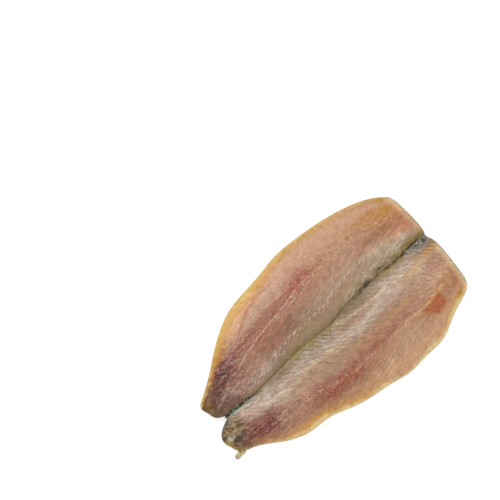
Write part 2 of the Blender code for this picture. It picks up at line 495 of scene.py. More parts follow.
# Spots of the flesh: side, along, mm off the groove, length, width, strength
fleshSpots = {
    "blood": (
        (1, 53, 22.2, 8, 3.6, 1), (1, 60, 20.2, 7, 2.2, 0.8), (1, 40, 20.6, 8, 1.8, 0.35),
        (1, 66, 18.6, 9, 1.8, 0.5), (1, 79, 15.2, 8, 2.2, 0.7), (1, 85, 20.4, 5, 3, 0.5),
        (-1, 61, 20.6, 9, 2.8, 0.8), (-1, 50, 19, 8, 2.4, 0.5), (-1, 71, 21, 8, 2.6, 0.75),
        (-1, 37, 20, 7, 2.2, 0.5), (1, 3, 10.5, 5, 4, 0.2), (-1, 3, 12.5, 4, 2.5, 0.3),
        (-1, 105.3, 15.9, 2.2, 1.3, 0.5), (-1, 2.5, 19, 2.6, 3, 0.3),
    ),
    "ochre": (
        (-1, 5.4, 26.6, 1.8, 1.3, 1), (1, 3.7, 20.5, 2.6, 2.4, 0.8), (1, 7.3, 18.6, 2.8, 1.6, 0.7),
        (1, 2.6, 23.6, 2.4, 2, 0.7), (1, 15.3, 20, 3.4, 2, 0.5), (1, 1, 3.2, 1.4, 1, 0.8),
        (1, 111.8, 8.4, 1.6, 1.6, 0.35), (-1, 114.2, 13, 0.9, 1.2, 0.8), (1, 98, 20.2, 5, 1.4, 0.4),
        (1, 88, 21.8, 6, 2.6, 0.35), (1, 106.5, 13.4, 4, 1.2, 0.35), (-1, 4, 25, 0.9, 0.8, 1),
        (-1, 7.6, 27.6, 1.2, 0.8, 0.8), (1, 11, 21.6, 4, 1, 0.5), (1, 19.5, 21.4, 3.4, 0.8, 0.45),
        (1, 24, 18.6, 3, 0.8, 0.4),
    ),
    "moss": (
        (1, 2.6, 2.2, 2.4, 1.3, 0.9), (1, 6.4, 2.3, 3.4, 1.3, 0.8), (1, 10.6, 1.7, 3.6, 1.2, 0.9),
        (1, 15, 1.3, 3, 1.1, 0.9), (1, 19, 1.2, 3, 1, 0.25), (1, 24, 0.9, 4, 0.8, 0.3),
        (-1, 0.3, 2.6, 1.4, 1.6, 0.7), (-1, 15.8, 0.8, 2.4, 1.1, 0.9), (-1, 21, 1.2, 3.4, 1.1, 0.7),
        (-1, 65.5, 1.2, 2.6, 1.2, 0.6), (-1, 71, 0.9, 2.2, 1, 0.9), (1, 71, 0.4, 8, 0.9, 0.5),
        (-1, 78, 1.4, 3, 1, 0.3), (-1, 58, 1.6, 4, 1, 0.5), (-1, 60, 8.6, 3, 1.2, 0.4),
        (-1, 112.6, 3.6, 2, 2.2, 0.7), (-1, 108.6, 5, 2.4, 2, 0.5), (1, 112.8, 5.2, 1.4, 3, 0.5),
        (-1, 112.2, 10.2, 1.4, 1.2, 0.6), (1, 110, 9.4, 1.6, 1.2, 0.25), (-1, 112.6, 5.8, 1.6, 1.6, 0.6),
    ),
    "grey": (
        (-1, 3, 1.7, 2.6, 1.5, 1), (-1, 6.6, 1.4, 3, 1.3, 0.9), (-1, 10, 1.2, 3, 1, 0.6),
        (-1, 31, 1, 4, 0.8, 0.4), (-1, 110.5, 2.8, 2, 1.4, 0.5),
    ),
    "ladder": ((-1, 1, 4.4, 2.6, 1.9, 0.9), (-1, 4.2, 4.4, 2.8, 1.9, 1), (-1, 8, 5.6, 3.2, 1.2, 0.6)),
    "straw": ((-1, 9.6, 6, 3.6, 1.6, 0.9), (-1, 14.2, 7.4, 3.6, 1.6, 0.8), (-1, 18.6, 8.4, 3, 1.2, 0.6)),
    "pale": (
        (1, 30, 18, 10, 4.6, 1), (-1, 80, 13.4, 8, 4, 1), (-1, 85, 17.4, 7, 3, 1),
        (-1, 92, 15.6, 5, 3.2, 1), (-1, 17, 30.6, 8, 2, 0.9), (1, 91, 1.8, 4, 1.4, 0.8),
        (-1, 22, 12.4, 8, 4, 0.7), (1, 89, 9.2, 8, 2.4, 1), (1, 64, 26, 8, 3, 0.2),
        (-1, 34, 27, 9, 5, 0.9), (-1, 1.5, 27, 3, 4, 1), (-1, 101, 4.8, 4, 2.4, 1),
        (1, 20, 1.6, 3, 1, 0.9), (1, 101, 6.3, 3, 1.6, 0.9), (1, 110, 12.6, 2.4, 2.2, 1),
        (-1, 110, 7.2, 2.4, 1.4, 0.7),
    ),
    # tailPit: dark pits in the right tail end, dark flesh with painted shade in the hollows
    "tailPit": (
        (-1, 111.2, 10, 1.6, 1.1, 1.1), (-1, 113.7, 11.2, 0.6, 1.4, 0.7), (-1, 106.4, 5.6, 3, 0.4, 0.5),
    ),
    "rose": ((-1, 7.7, 11.2, 6, 3.4, 1), (1, 4.6, 10.2, 4.6, 3.6, 1), (-1, 26, 12, 7, 2.4, 0.4)),
    "silver": (
        (-1, 10, 1.8, 5, 1.2, 0.8), (-1, 17, 4.4, 6, 2.2, 0.9), (-1, 26, 5.6, 8, 2.6, 0.9),
        (-1, 31, 9, 8, 2.8, 0.8), (-1, 40, 9, 8, 2.8, 0.8), (-1, 49, 8.6, 8, 2.6, 0.6),
        (-1, 60, 6.8, 9, 2.8, 0.8), (-1, 76, 5, 10, 3, 0.6), (-1, 92, 5, 9, 3.8, 1),
        (-1, 101, 3.8, 6, 2.2, 0.5), (-1, 87, 9.4, 7, 2.2, 0.5), (1, 11.5, 4.6, 5, 1.8, 0.9),
        (1, 19, 6.4, 8, 2.4, 0.5), (1, 86, 4.4, 9, 2, 0.5),
    ),
    "sage": (
        (1, 17, 2.6, 7, 2.4, 0.8), (1, 27, 3.4, 8, 2, 1), (1, 37, 2.4, 6, 1.8, 0.9),
        (1, 50, 1.6, 9, 2.6, 0.7), (1, 63, 2.2, 9, 2.8, 0.7), (1, 60, 8.8, 8, 3, 0.5),
        (-1, 28, 2.8, 7, 1.4, 0.5), (-1, 63, 2.4, 7, 1.4, 0.6), (-1, 50, 4.4, 6, 1.2, 0.5),
    ),
    "purple": (
        (1, 100.5, 13, 8, 5.4, 1), (1, 107, 8.6, 4, 4.6, 0.6), (1, 91, 18, 7, 3.6, 0.6),
        (1, 92, 12, 7, 3, 0.2), (-1, 97.8, 11.2, 5.2, 4, 0.9), (-1, 103, 12.2, 5.6, 3.2, 0.8),
        (-1, 108.4, 12.4, 3.4, 2.4, 0.9),
    ),
    "plum": ((1, 101, 12.4, 5.4, 4, 1), (1, 106.4, 9.6, 4, 4, 1), (1, 109.8, 8, 3, 3.4, 1)),
    "brown": (
        (1, 103, 2.6, 4, 2.2, 0.9), (-1, 110.4, 9.6, 1.9, 1.2, 0.6), (1, 110.4, 8.4, 3, 3.4, 0.55),
        (-1, 110, 1.2, 2, 1.2, 0.4), (-1, 70, 4.2, 8, 2.2, 0.25), (-1, 106.6, 7, 2.2, 0.7, 0.4),
        (-1, 38, 3.4, 7, 1.2, 0.4), (-1, 84, 3, 5, 1.4, 0.4), (-1, 108.4, 9.4, 1.4, 1, 0.4),
        (1, 108.4, 3.4, 3.4, 2, 0.7),
    ),
    # wetHighlight: pale grey-green spots on the wet flesh of the right tail end and by the groove, painted
    # highlights
    "wetHighlight": (
        (-1, 113.2, 8, 1, 1.4, 1), (-1, 112, 8.6, 1.2, 0.6, 1), (-1, 102.6, 1.5, 4.6, 0.5, 0.8),
        (-1, 94, 1.4, 4, 0.8, 0.5),
    ),
    "tawny": (
        (-1, 48.6, 4.9, 5, 1.7, 1), (-1, 41, 6.9, 5, 0.9, 0.6), (-1, 79, 4, 6, 1.8, 0.6),
        (-1, 86, 4.2, 6, 2, 0.8), (-1, 56, 5.4, 4, 0.9, 0.5),
    ),
}

# Line of the jagged chain of bone ends on the left fillet, and its pitch in mm
chainLine = (
    (4, 6.6), (16, 7.8), (24, 8.2), (37, 8.5), (45, 7.9), (52, 6.9), (60, 6.4), (70, 6), (79, 5.5), (90, 5),
)
chainPitch = 2.75

# Fine lines: side, (along, mm off the groove) points, width, strength
fleshLines = {
    "creamRidge": (
        (-1, ((16, 6.9), (29, 6.3), (38, 5.2), (44, 3.8), (50, 2.2), (57, 1.4)), 0.6, 0.9),
        (-1, ((6, 7.2), (10.7, 8.2), (16, 9.4), (20, 10.4)), 1.3, 0.7),
        (1, ((3, 6), (10, 7), (16, 7.6), (28, 8.2)), 1.1, 0.5),
        (-1, (
            (54, 9.6), (60, 9), (67.7, 8.3), (74.3, 7.6), (80.7, 8.4), (88, 7.6), (97, 6), (104, 4.4),
        ), 1.3, 0.6),
        (1, ((100, 8.6), (107, 5.4), (112, 3)), 0.8, 0.3),
    ),
    "swath": (
        (1, ((-3, 12.7), (8, 12.9), (16, 12.6), (30, 11)), 1.7, 1),
        (1, ((62, 9), (74, 8.4), (86, 8.2), (96, 7.4)), 1.5, 0.7),
    ),
    "crease": (
        (1, ((58, 28.2), (64, 28.2), (72.4, 27), (79, 24.2), (87, 20)), 0.45, 0.8),
        (-1, ((60, 20), (72, 20.4), (84, 18.6)), 0.3, 0.6),
        (-1, ((31, 7.6), (40, 6.8), (50, 4.6)), 0.3, 0.6),
        (-1, ((63, 10.2), (74, 9.4), (86, 9.8)), 0.3, 0.4),
    ),
}


def bySide(pair):
    return np.where(fish.side > 0, pair[1], pair[-1])


def curveBySide(pair):
    return bySide({side: smoothCurve(pair[side], fish.along) for side in (1, -1)})


def addFibres():
    # Fibres run out and towards the head as far as the septum, and turn back beyond it
    across = fish.off * fish.side
    septum = curveBySide(fleshMarks["septum"]) * fish.reach
    beyond = fish.off - septum
    outer = (beyond + np.sqrt(beyond ** 2 + 1.2)) / 2
    inner = fish.off - outer
    fish.across = across
    fish.septum = septum
    fish.fibre = (
        fish.along + bySide(fleshMarks["fibreLean"]) * inner - bySide(fleshMarks["outerLean"]) * outer
    )
    fish.lean = np.sin(np.arctan(1 / bySide(fleshMarks["fibreLean"])))
    drift = 0.2 * layeredNoise(fish.along, across, 5, 49)
    drift = drift + 0.1 * softNoise(fish.along, across, 1.3, 50)
    fish.turns = fish.fibre / fleshMarks["bonePitch"] + drift * bySide({1: 1.3, -1: 0.5})
    wobble = layeredNoise(fish.along, across, 5, 3)
    fine = layeredNoise(fish.along, across, 1.4, 5, layers=2)
    fish.wobbleAlong = fish.along + 1.1 * wobble + 0.5 * fine
    sway = layeredNoise(fish.along, across, 6, 8, stretch=1.6)
    fine = layeredNoise(fish.along, across, 1.2, 9, layers=2)
    fish.wobbleOff = fish.off + 0.6 * sway + 0.35 * fine


addFibres()


def alongNoise(size, seed):
    return softNoise(fish.along, fish.along * 0, size, seed)


def onLeft(values):
    return np.where(fish.side > 0, values, 0.0)


def onRight(values):
    return np.where(fish.side < 0, values, 0.0)


def spotsOf(name):
    total = np.zeros(len(fish.along))
    for side, along, off, length, width, strength in fleshSpots[name]:
        ahead = (fish.wobbleAlong - along) / length
        beside = (fish.wobbleOff - off) / width
        spot = strength * np.exp(-(ahead ** 2 + beside ** 2))
        total = np.maximum(total, np.where(fish.side == side, spot, 0.0))
    return total


def linesOf(name):
    total = np.zeros(len(fish.along))
    sway = 0.3 * softNoise(fish.along, fish.across, 2.4, 23)
    for side, points, width, strength in fleshLines[name]:
        start, end = points[0][0], points[-1][0]
        ends = ramp(fish.along, start - 1, start + 5) * (1 - ramp(fish.along, end - 6, end + 1))
        line = strength * ends * bump(fish.off + sway, smoothCurve(points, fish.along), width)
        total = np.maximum(total, np.where(fish.side == side, line, 0.0))
    return total


# Fine bones: a strong line at each pitch and a weak one between
strongLine = 0.62
weakLine = 0.38


def wave(turns):
    return strongLine * np.sin(2 * math.pi * turns) + weakLine * np.sin(4 * math.pi * turns)


def addBoneMarks(marks):
    along, off = fish.along, fish.off
    boneAlong = {
        1: ((-2, 0.1), (10, 0.3), (24, 0.35), (34, 0.2), (46, 0), (112, 0)),
        -1: (
            (-2, 0.1), (20, 0.2), (30, 0.4), (45, 0.4), (54, 1), (74, 1), (82, 0.7), (94, 0.35), (114, 0.1),
        ),
    }
    boneReach = {
        1: ((-2, 3), (30, 4.4), (112, 4)),
        -1: ((-2, 4), (35, 7), (60, 8), (74, 7), (86, 6), (96, 4), (114, 3)),
    }
    reachOut = curveBySide(boneReach)
    patchy = 0.7 + 0.5 * layeredNoise(along, fish.across, 3.2, 71, layers=2)
    reached = ramp(off, 0.2, 0.9) * (1 - ramp(off / reachOut, 0.75, 1.1))
    marks["bones"] = curveBySide(boneAlong) * reached * patchy
    hairAlong = {
        1: ((-2, 0), (64, 0), (71, 0.6), (78, 1), (94, 1), (103, 0.5), (112, 0.2)),
        -1: ((-2, 0.1), (30, 0.2), (60, 0.1), (84, 0.3), (94, 0.7), (114, 0.4)),
    }
    hairMiddle = {
        1: smoothCurve(((66, 6.6), (75, 5.6), (82, 4.6), (90, 4.2), (100, 4.6), (112, 5)), along),
        -1: smoothCurve(((0, 6), (60, 5), (100, 4), (112, 4)), along),
    }
    hairWidth = {1: smoothCurve(((66, 0.8), (76, 1.9), (84, 2.7), (92, 2.6), (104, 2)), along), -1: 2.6}
    marks["hair"] = bump(off, bySide(hairMiddle), bySide(hairWidth)) * curveBySide(hairAlong)
    turn = along / chainPitch + 0.3 * alongNoise(6, 66)
    turn = turn - np.floor(turn)
    middle = smoothCurve(chainLine, along) + 1.3 * (0.5 - turn) + 0.3 * softNoise(along, off, 2.6, 67)
    chainAlong = ((-2, 0), (8, 0), (14, 0.25), (22, 0.6), (34, 1), (64, 1), (80, 0.7), (90, 0), (112, 0))
    onChain = onLeft(smoothCurve(chainAlong, along))
    patchy = 0.75 + 0.5 * softNoise(along, off * 0, 2.2, 68)
    marks["chain"] = onChain * np.sin(math.pi * turn) * patchy
    marks["chainOff"] = np.clip(off - middle, -3, 3)
    marks["chainShade"] = bump(off, middle - 0.85, 0.5) * onChain
    marks["ribs"] = onRight(bump(along, 42, 19) * ramp(fish.share, 0.66, 0.82))


def addGrooveMarks(marks):
    along, across = fish.along, fish.across
    # Dark line down the crevice and dark pits beside it: partly the back's dark skin at the bottom, partly
    # painted shade in the crevice and its hollows
    deepAlong = (
        (-2, 0.3), (3, 0.5), (7, 0.95), (13, 1.15), (18, 0.75), (26, 0.5), (32, 0.85), (40, 0.4), (48, 0.4),
        (53, 0.7), (62, 0.3), (80, 0.3), (90, 0.28), (95, 0.75), (112, 1),
    )
    deepWidth = (
        (-2, 0.4), (6, 0.5), (16, 0.34), (34, 0.32), (44, 0.3), (56, 0.24), (85, 0.24), (94, 0.4),
        (112, 0.55),
    )
    deepOff = (
        (-2, 0.2), (2, 0.4), (5, 0.65), (8, 0.5), (11, 0.15), (15, -0.4), (18, -0.45), (23, -0.3),
        (27, -0.1), (32, -0.1), (38, -0.1), (41, 0.8), (46, 0.7), (51, 0.3),
        (65, 0), (71, 0.4), (80, 0.3), (89, 0.7), (95, 0), (112, 0),
    )
    blobs = 0.75 + 0.4 * alongNoise(1.5, 31)
    uneven = 1 + 0.4 * softNoise(along, across, 1.2, 32)
    bank = ramp(along, 8, 14) * (1 - ramp(along, 40, 48))
    line = across + 0.15 * alongNoise(2.2, 33)
    line = line + 0.3 * bank * alongNoise(1.1, 34)
    width = smoothCurve(deepWidth, along) * uneven
    marks["crevice"] = np.clip(line - smoothCurve(deepOff, along), -4, 4)
    marks["creviceWidth"] = width
    marks["creviceDark"] = smoothCurve(deepAlong, along) * blobs
    marks["pits"] = 0 * along
    for place, aside in fleshMarks["pits"]:
        pit = np.exp(-((fish.wobbleAlong - place) / 0.6) ** 2 - ((across - aside) / 0.5) ** 2)
        marks["pits"] = np.maximum(marks["pits"], pit)
    crevice = bump(marks["crevice"], 0, width) * marks["creviceDark"]
    fish.crevice = np.maximum(crevice, 0.8 * marks["pits"])
    # A soft darker band along the crevice in the middle of the fish: painted shade
    marks["creviceShade"] = bump(across, 0.4, 1.4) * ramp(along, 40, 50) * (1 - ramp(along, 88, 96))
    # Lumps of the bank beside the crevice, with dark gaps between; the gaps' darkness is painted shade
    turn = (along + 0.6 * across) / 1.5 + 1.1 * softNoise(along, across, 2.2, 35)
    lumps = 0.7 * np.sin(2 * math.pi * turn) + 1.0 * softNoise(along, across, 0.9, 36)
    marks["lumps"] = bank * bump(across, 2.4, 1.5) * ramp(lumps, -0.4, 0.8)
    combAlong = ((0, 0), (12, 0.1), (20, 0.5), (24, 0.9), (29, 0.6), (32, 1), (36, 0.8), (40, 0.5), (50, 0))
    gapReach = 1.3 + 0.7 * alongNoise(1.9, 37)
    marks["gaps"] = (1 - ramp(across, gapReach - 0.7, gapReach + 0.7)) * ramp(across, -0.8, -0.1)
    marks["gaps"] = marks["gaps"] * smoothCurve(combAlong, along)
    marks["bank"] = bank * bump(across, 2.4, 1.9)


def addFolds(marks):
    # Wrinkles of the right fillet's tail end, with painted shade in their troughs and a painted highlight
    # on their ridges
    along, off = fish.along, fish.off
    across = fish.across
    flat, down = -0.74 * along - 0.67 * across, 0.67 * along - 0.74 * across
    swirl = 1.1 * softNoise(along, across, 3, 81)
    cloud = layeredNoise(flat + swirl, down + 0.2 * flat + swirl, 1.5, 87, stretch=2, layers=2)
    ridge = 1 - 2.6 * np.abs(cloud)
    zone = onRight(ramp(fish.wobbleAlong, 103, 107.5) * (1 - ramp(off, 11, 14)))
    zone = zone * ramp(off, 0.6, 2)
    marks["foldRidgeHighlight"] = zone * ramp(ridge, 0.4, 1)
    marks["foldTroughShade"] = zone * ramp(-ridge, -0.3, 0.5)
    fish.wrinkles = zone * (ridge - 0.4)


def addTextureMarks(marks):
    # How streaky, speckled and beaded the flesh is; its pale specks and beads are partly the flesh's own
    # flecks and partly painted glints
    along, off, share = fish.along, fish.off, fish.share
    left = fish.side > 0
    smooth = onLeft(bump(along, 56, 17) * (1 - ramp(off, 3.6, 5.6)))
    smooth = np.maximum(smooth, 0.9 * marks["brown"] * left)
    belly = ramp(share, 0.62, 0.76) * (1 - ramp(along, 84, 94))
    marks["streaky"] = 0.35 * (1 - 0.9 * smooth) * (1 - 0.7 * marks["fat"]) * (1 - 0.5 * marks["silver"])
    marks["streaky"] = marks["streaky"] * (1 - 0.8 * belly)
    flecks = onRight(bump(along, 12, 7) * bump(share, 0.44, 0.2))
    speckle = 0.3 + 0.25 * np.maximum(marks["purple"], 0.6 * marks["tail"] * ramp(share, 0.2, 0.5))
    lean = 1 - 0.8 * marks["fat"]
    marks["speckle"] = np.clip(speckle, 0, 1) * (1 - 0.9 * smooth) * lean * (1 - 0.5 * belly)
    marks["speckle"] = marks["speckle"] * (1 - 0.6 * marks["endLeft"])
    marks["grainy"] = (0.3 + 0.8 * marks["speckle"]) * (1 - 0.6 * belly) * (1 - 0.4 * marks["purple"])
    curls = flecks + 0.5 * marks["septumLine"] + 0.35 * ramp(share, 0.45, 0.6) * (1 - ramp(share, 0.8, 0.9))
    curls = curls + 0.3 * marks["silver"] + 0.7 * marks["rose"] * (1 - left)
    dull = 1 - 0.7 * np.maximum(marks["endLeft"], marks["plum"])
    marks["curls"] = dull * np.clip(curls, 0, 1) * (1 - smooth) * lean * (1 - marks["rust"])
    beads = 0.3 * ramp(share, 0.3, 0.5) + 0.9 * marks["septumLine"] + 0.5 * flecks
    marks["beads"] = dull * np.clip(beads, 0, 1) * (1 - smooth) * lean * (1 - marks["rust"])


def polygonInside(corners):
    # Distance in mm inside the nearest edge of a patch on the right fillet, given as (along, off) corners
    inside = np.full(len(fish.along), 99.0)
    middle = np.mean(np.array(corners), axis=0)
    for (a0, o0), (a1, o1) in zip(corners, corners[1:] + corners[:1]):
        length = math.hypot(a1 - a0, o1 - o0)
        normal = np.array([-(o1 - o0), a1 - a0]) / length
        if np.dot(middle - np.array([a0, o0]), normal) < 0:
            normal = -normal
        gap = (fish.wobbleAlong - a0) * normal[0] + (fish.wobbleOff - o0) * normal[1]
        inside = np.minimum(inside, gap)
    return inside


def addEdgeMarks(marks):
    # Marks measured from the head cut and from the tail end
    along, off = fish.along, fish.off
    left = fish.side > 0
    fromCut = fish.row * fishPlan["grooveLength"] + 0.3 * softNoise(off, along, 2, 75)
    fromEnd = (1 - fish.row) * fishPlan["grooveLength"]
    marks["cutPale"] = (1 - ramp(fromCut, 0.5, 3.4)) * ramp(off, 2.5, 6) * np.where(left, 0.8, 1)
    # A grey-green line along the head cut's edge: painted shade where the top turns down into the cut face
    marks["cutLine"] = 1 - ramp(fromCut, 0, 0.45)
    darkEnd = ramp(off, 0.2, 1.2) * (1 - ramp(off, 5.6, 7.4))
    marks["darkEnd"] = np.where(left, 0.35, 1) * darkEnd * (1 - ramp(fromEnd, 0.2, 0.6))
    marks["yellowEnd"] = onRight(ramp(off, 6.6, 8.4)) * (1 - ramp(fromEnd, 0.2, 1))


def makeMarks():
    along, off, side = fish.along, fish.off, fish.side
    beyond = fish.wobbleOff - fish.septum
    line = off - fish.septum + 0.25 * softNoise(along, off, 3, 21)
    rimGap = fish.reach + fishPlan["inset"] - fish.wobbleOff
    fat = curveBySide(fleshMarks["fatWidth"])
    marks = {name: spotsOf(name) for name in fleshSpots}
    marks.update({name: linesOf(name) for name in fleshLines})
    rust = ramp(polygonInside(fleshMarks["rust"]), -0.9, 1.5) * ramp(off - fish.septum, 0.2, 0.9)
    marks["rust"] = onRight(rust)
    marks["fat"] = 1 - ramp(rimGap / fat, 0.2, 1.35)
    marks["fatEdge"] = bump(rimGap / fat, 1, 0.4) * ramp(fat, 1.2, 2.5)
    rim = 1 - ramp(rimGap, 0.7, 2.6 - 0.9 * ramp(along, 24, 40))
    wideRim = 1 - ramp(rimGap, 0.8, 3.2 - 1.4 * ramp(along, 30, 50))
    headRim = 1 - ramp(along, 26, 42)
    # The left rim is darker and greyer than the right: partly the fat's own tone, partly painted shadow
    # along that edge
    marks["rimLeft"] = wideRim * (side > 0) * (1 - headRim)
    marks["rimHead"] = wideRim * (side > 0) * headRim
    marks["rimRight"] = rim * (side < 0) * (1 - 0.9 * ramp(along, 94, 104))
    bloodAlong = {
        1: ((-2, 0.1), (20, 0.2), (36, 0.55), (50, 0.8), (72, 0.5), (90, 0.3), (112, 0.2)),
        -1: ((-2, 0), (24, 0.15), (38, 0.55), (50, 0.9), (80, 0.8), (98, 0.4), (114, 0.2)),
    }
    bloodLine = bump(beyond, bySide({1: 0.8, -1: -1.2}), bySide({1: 1.1, -1: 1.5}))
    marks["bloodLine"] = bloodLine * curveBySide(bloodAlong)
    septumAlong = {
        1: ((-2, 0), (16, 0.1), (28, 0.35), (40, 0.8), (80, 0.75), (100, 0.3), (112, 0.1)),
        -1: (
            (-2, 0), (8, 0.1), (12, 0.8), (30, 0.7), (44, 0.4), (60, 0.55), (84, 0.5), (95, 0.2), (114, 0),
        ),
    }
    # The septum's pale line: partly pale tissue, partly painted highlight on the step at the septum
    marks["septumLine"] = bump(line, 0, bySide({1: 0.45, -1: 0.7})) * curveBySide(septumAlong)
    goldAlong = {
        1: ((-2, 0), (112, 0)),
        -1: ((-2, 0), (9, 0.1), (12, 1), (21, 0.9), (28, 0.4), (36, 0.1), (114, 0)),
    }
    marks["goldLine"] = bump(line, 0.1, 0.6) * curveBySide(goldAlong)
    dashAlong = {
        1: ((-2, 0), (30, 0.3), (60, 0.5), (112, 0)),
        -1: ((-2, 0), (8, 0.5), (12, 1), (26, 1), (36, 0.4), (114, 0.2)),
    }
    marks["darkDash"] = bump(line, -0.75, 0.4) * curveBySide(dashAlong)
    marks["head"] = 1 - ramp(fish.wobbleAlong, 5, 26)
    marks["rear"] = ramp(fish.wobbleAlong, 44, 68)
    marks["tail"] = ramp(fish.wobbleAlong, 87, 101)
    endLeft = ramp(fish.wobbleAlong, 97, 107) * (1 - ramp(fish.share, 0.72, 0.92))
    marks["endLeft"] = onLeft(endLeft * ramp(fish.share, 0.1, 0.3))
    marks["endRight"] = onRight(ramp(fish.wobbleAlong, 104, 111))
    marks["band"] = np.clip(fish.wobbleOff / fish.reach, 0, 1)
    marks["left"] = (side > 0).astype(float)
    marks["cutFace"] = ramp(fish.wall, 0.15, 0.5) * (1 - ramp(fish.along, 2, 7))
    marks["turns"] = fish.turns
    addBoneMarks(marks)
    addGrooveMarks(marks)
    addFolds(marks)
    addTextureMarks(marks)
    addEdgeMarks(marks)
    return marks


marks = makeMarks()

# Depths of the relief in mm
reliefSettings = {
    "swell": 0.12,
    "grain": 0.03,
    "fine": 0.03,
    "septumRidge": 0.07,
    "septumCrease": 0.08,
    "bones": 0.05,
    "hair": 0.05,
    "chain": 0.08,
    "creamRidge": 0.16,
    "bank": 0.3,
    "swath": 0.14,
    "crease": 0.12,
    "tailFolds": 0.14,
    "tailSpeckle": 0.07,
    "grooveCrease": 0.6,
    "lumps": 0.16,
    "wrinkles": 0.3,
    "silverRipple": 0.09,
    "pit": 0.5,
}


def addRelief(settings):
    along, off, across = fish.along, fish.off, fish.across
    fibre, length = fish.fibre * fish.lean, off / fish.lean
    height = settings["swell"] * layeredNoise(along, across, 9, 41, stretch=1.7)
    height += settings["grain"] * layeredNoise(along, across, 1.6, 43, stretch=1.3)
    streaks = layeredNoise(length, fibre + 50 * fish.side, 0.75, 45, stretch=4, layers=2)
    height += settings["fine"] * streaks * marks["streaky"]
    line = off - fish.septum
    dashes = 0.5 + 0.5 * softNoise(along, across, 1, 47)
    height += settings["septumRidge"] * marks["septumLine"] * dashes
    height -= settings["septumCrease"] * np.maximum(bump(line, 0.8, 0.4) * 0.6, marks["darkDash"])
    stripes = wave(fish.turns)
    height += settings["bones"] * marks["bones"] * stripes
    height += settings["hair"] * marks["hair"] * np.maximum(stripes, -0.2)
    chain = marks["chain"] * bump(marks["chainOff"], 0, 0.4) - 0.5 * marks["chainShade"]
    height += settings["chain"] * chain
    height += settings["creamRidge"] * marks["creamRidge"]
    height -= settings["crease"] * marks["crease"] + settings["swath"] * marks["swath"]
    bank = onLeft(bump(off, 3.4, 1.5) - 0.6 * bump(off, 5.6, 0.8))
    bank = bank * ramp(along, 4, 12) * (1 - ramp(along, 34, 48))
    height += settings["bank"] * bank * (1 + 0.35 * alongNoise(2.4, 59))
    folds = layeredNoise(along, across, 2.6, 53, stretch=2.2)
    height += settings["tailFolds"] * marks["tail"] * folds
    height += settings["lumps"] * (marks["lumps"] - 0.8 * marks["gaps"])
    height += settings["wrinkles"] * fish.wrinkles
    height += settings["tailSpeckle"] * marks["speckle"] * layeredNoise(along, across, 0.9, 57, layers=2)
    ripple = layeredNoise(along + 0.5 * across, across - 0.3 * along, 1.2, 55, stretch=3.5)
    height += settings["silverRipple"] * marks["silver"] * ripple
    height -= settings["grooveCrease"] * fish.crevice
    pit = onRight(bump(along, 110, 1.6) * bump(off, 9, 1.3))
    height -= settings["pit"] * pit
    height *= 1 - ramp(fish.wall, 0, 0.35)
    pushOut(flesh.data, height)


addRelief(reliefSettings)
for name, values in marks.items():
    setNumber(flesh.data, name, values)
sideAndDeep = 20 * fish.side + fish.deep
setVector(flesh.data, "fibre", fish.fibre * fish.lean, fish.off / fish.lean, sideAndDeep)
setVector(flesh.data, "place", fish.along, fish.across, fish.deep)
ahead, aside = fish.along - 0.36 * fish.off, fish.off + 0.36 * fish.along
setVector(flesh.data, "slant", ahead, aside, sideAndDeep)
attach(flesh, "root")
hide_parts(fishNode)
print("flesh relief and marks ready")


def lipDarkness(along, off, side):
    # 1 where the dark skin of the back shows at the edge, by the notches and round the right tail
    head = (1 - ramp(along, 0.5, 3)) * (1 - ramp(off, 2, 5)) * 0.8
    cut = (1 - ramp(along, 0, 1.6)) * 0.4
    rightTail = ramp(along, 106.5, 108.5) * (1 - ramp(off, 5.6, 7.4)) * (side < 0)
    leftTail = ramp(along, 106, 108) * (1 - ramp(off, 1.5, 4)) * (side > 0)
    return np.maximum.reduce([head, cut, rightTail, leftTail])


def buildSkin(settings):
    rows, columns = settings["rows"], 2 * settings["columns"]
    x, y, known = planGrid(rows, settings["columns"])
    under = castFrom(belowFish, x, y)
    loop = edgeLoop(rows, columns)
    edge = under[loop]
    outward = outwardOf(edge)
    lip = lipHeight(edge) * mm
    points, faces, owners = [under], [gridFaces(rows, columns)[:, ::-1]], [np.arange(len(under))]
    below, count = loop, len(under)
    rise = [np.zeros(len(under))]
    for k in range(1, settings["lipLevels"] + 1):
        part = math.sin(math.pi / 2 * k / settings["lipLevels"])
        level = edge[:, 2] + (lip - edge[:, 2]) * part
        ring = castOut(edge, outward, level)
        ring[:, :2] += outward * settings["proud"] * part * mm
        above = count + np.arange(len(loop))
        faces.append(bandFaces(above, below))
        points.append(ring)
        owners.append(loop)
        rise.append(np.full(len(loop), part))
        below, count = above, count + len(loop)
    piece = meshFrom("skin", np.concatenate(points), np.concatenate(faces).tolist())
    owners = np.concatenate(owners)
    along, off, side = [known[name][owners] for name in ("along", "off", "side")]
    setVector(piece.data, "place", along, off * side, 0 * off)
    setNumber(piece.data, "off", off + 1.2 * layeredNoise(along, off * side, 8, 93, stretch=2.5))
    setNumber(piece.data, "rise", np.concatenate(rise))
    setNumber(piece.data, "darkLip", lipDarkness(along, off, side))
    solid = piece.modifiers.new("thickness", "SOLIDIFY")
    solid.thickness = settings["thickness"] * mm
    solid.offset = -1
    solid.use_even_offset = False
    return piece


skin = buildSkin(skinSettings)
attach(skin, "root")
print("skin form:", len(skin.data.vertices), "points")


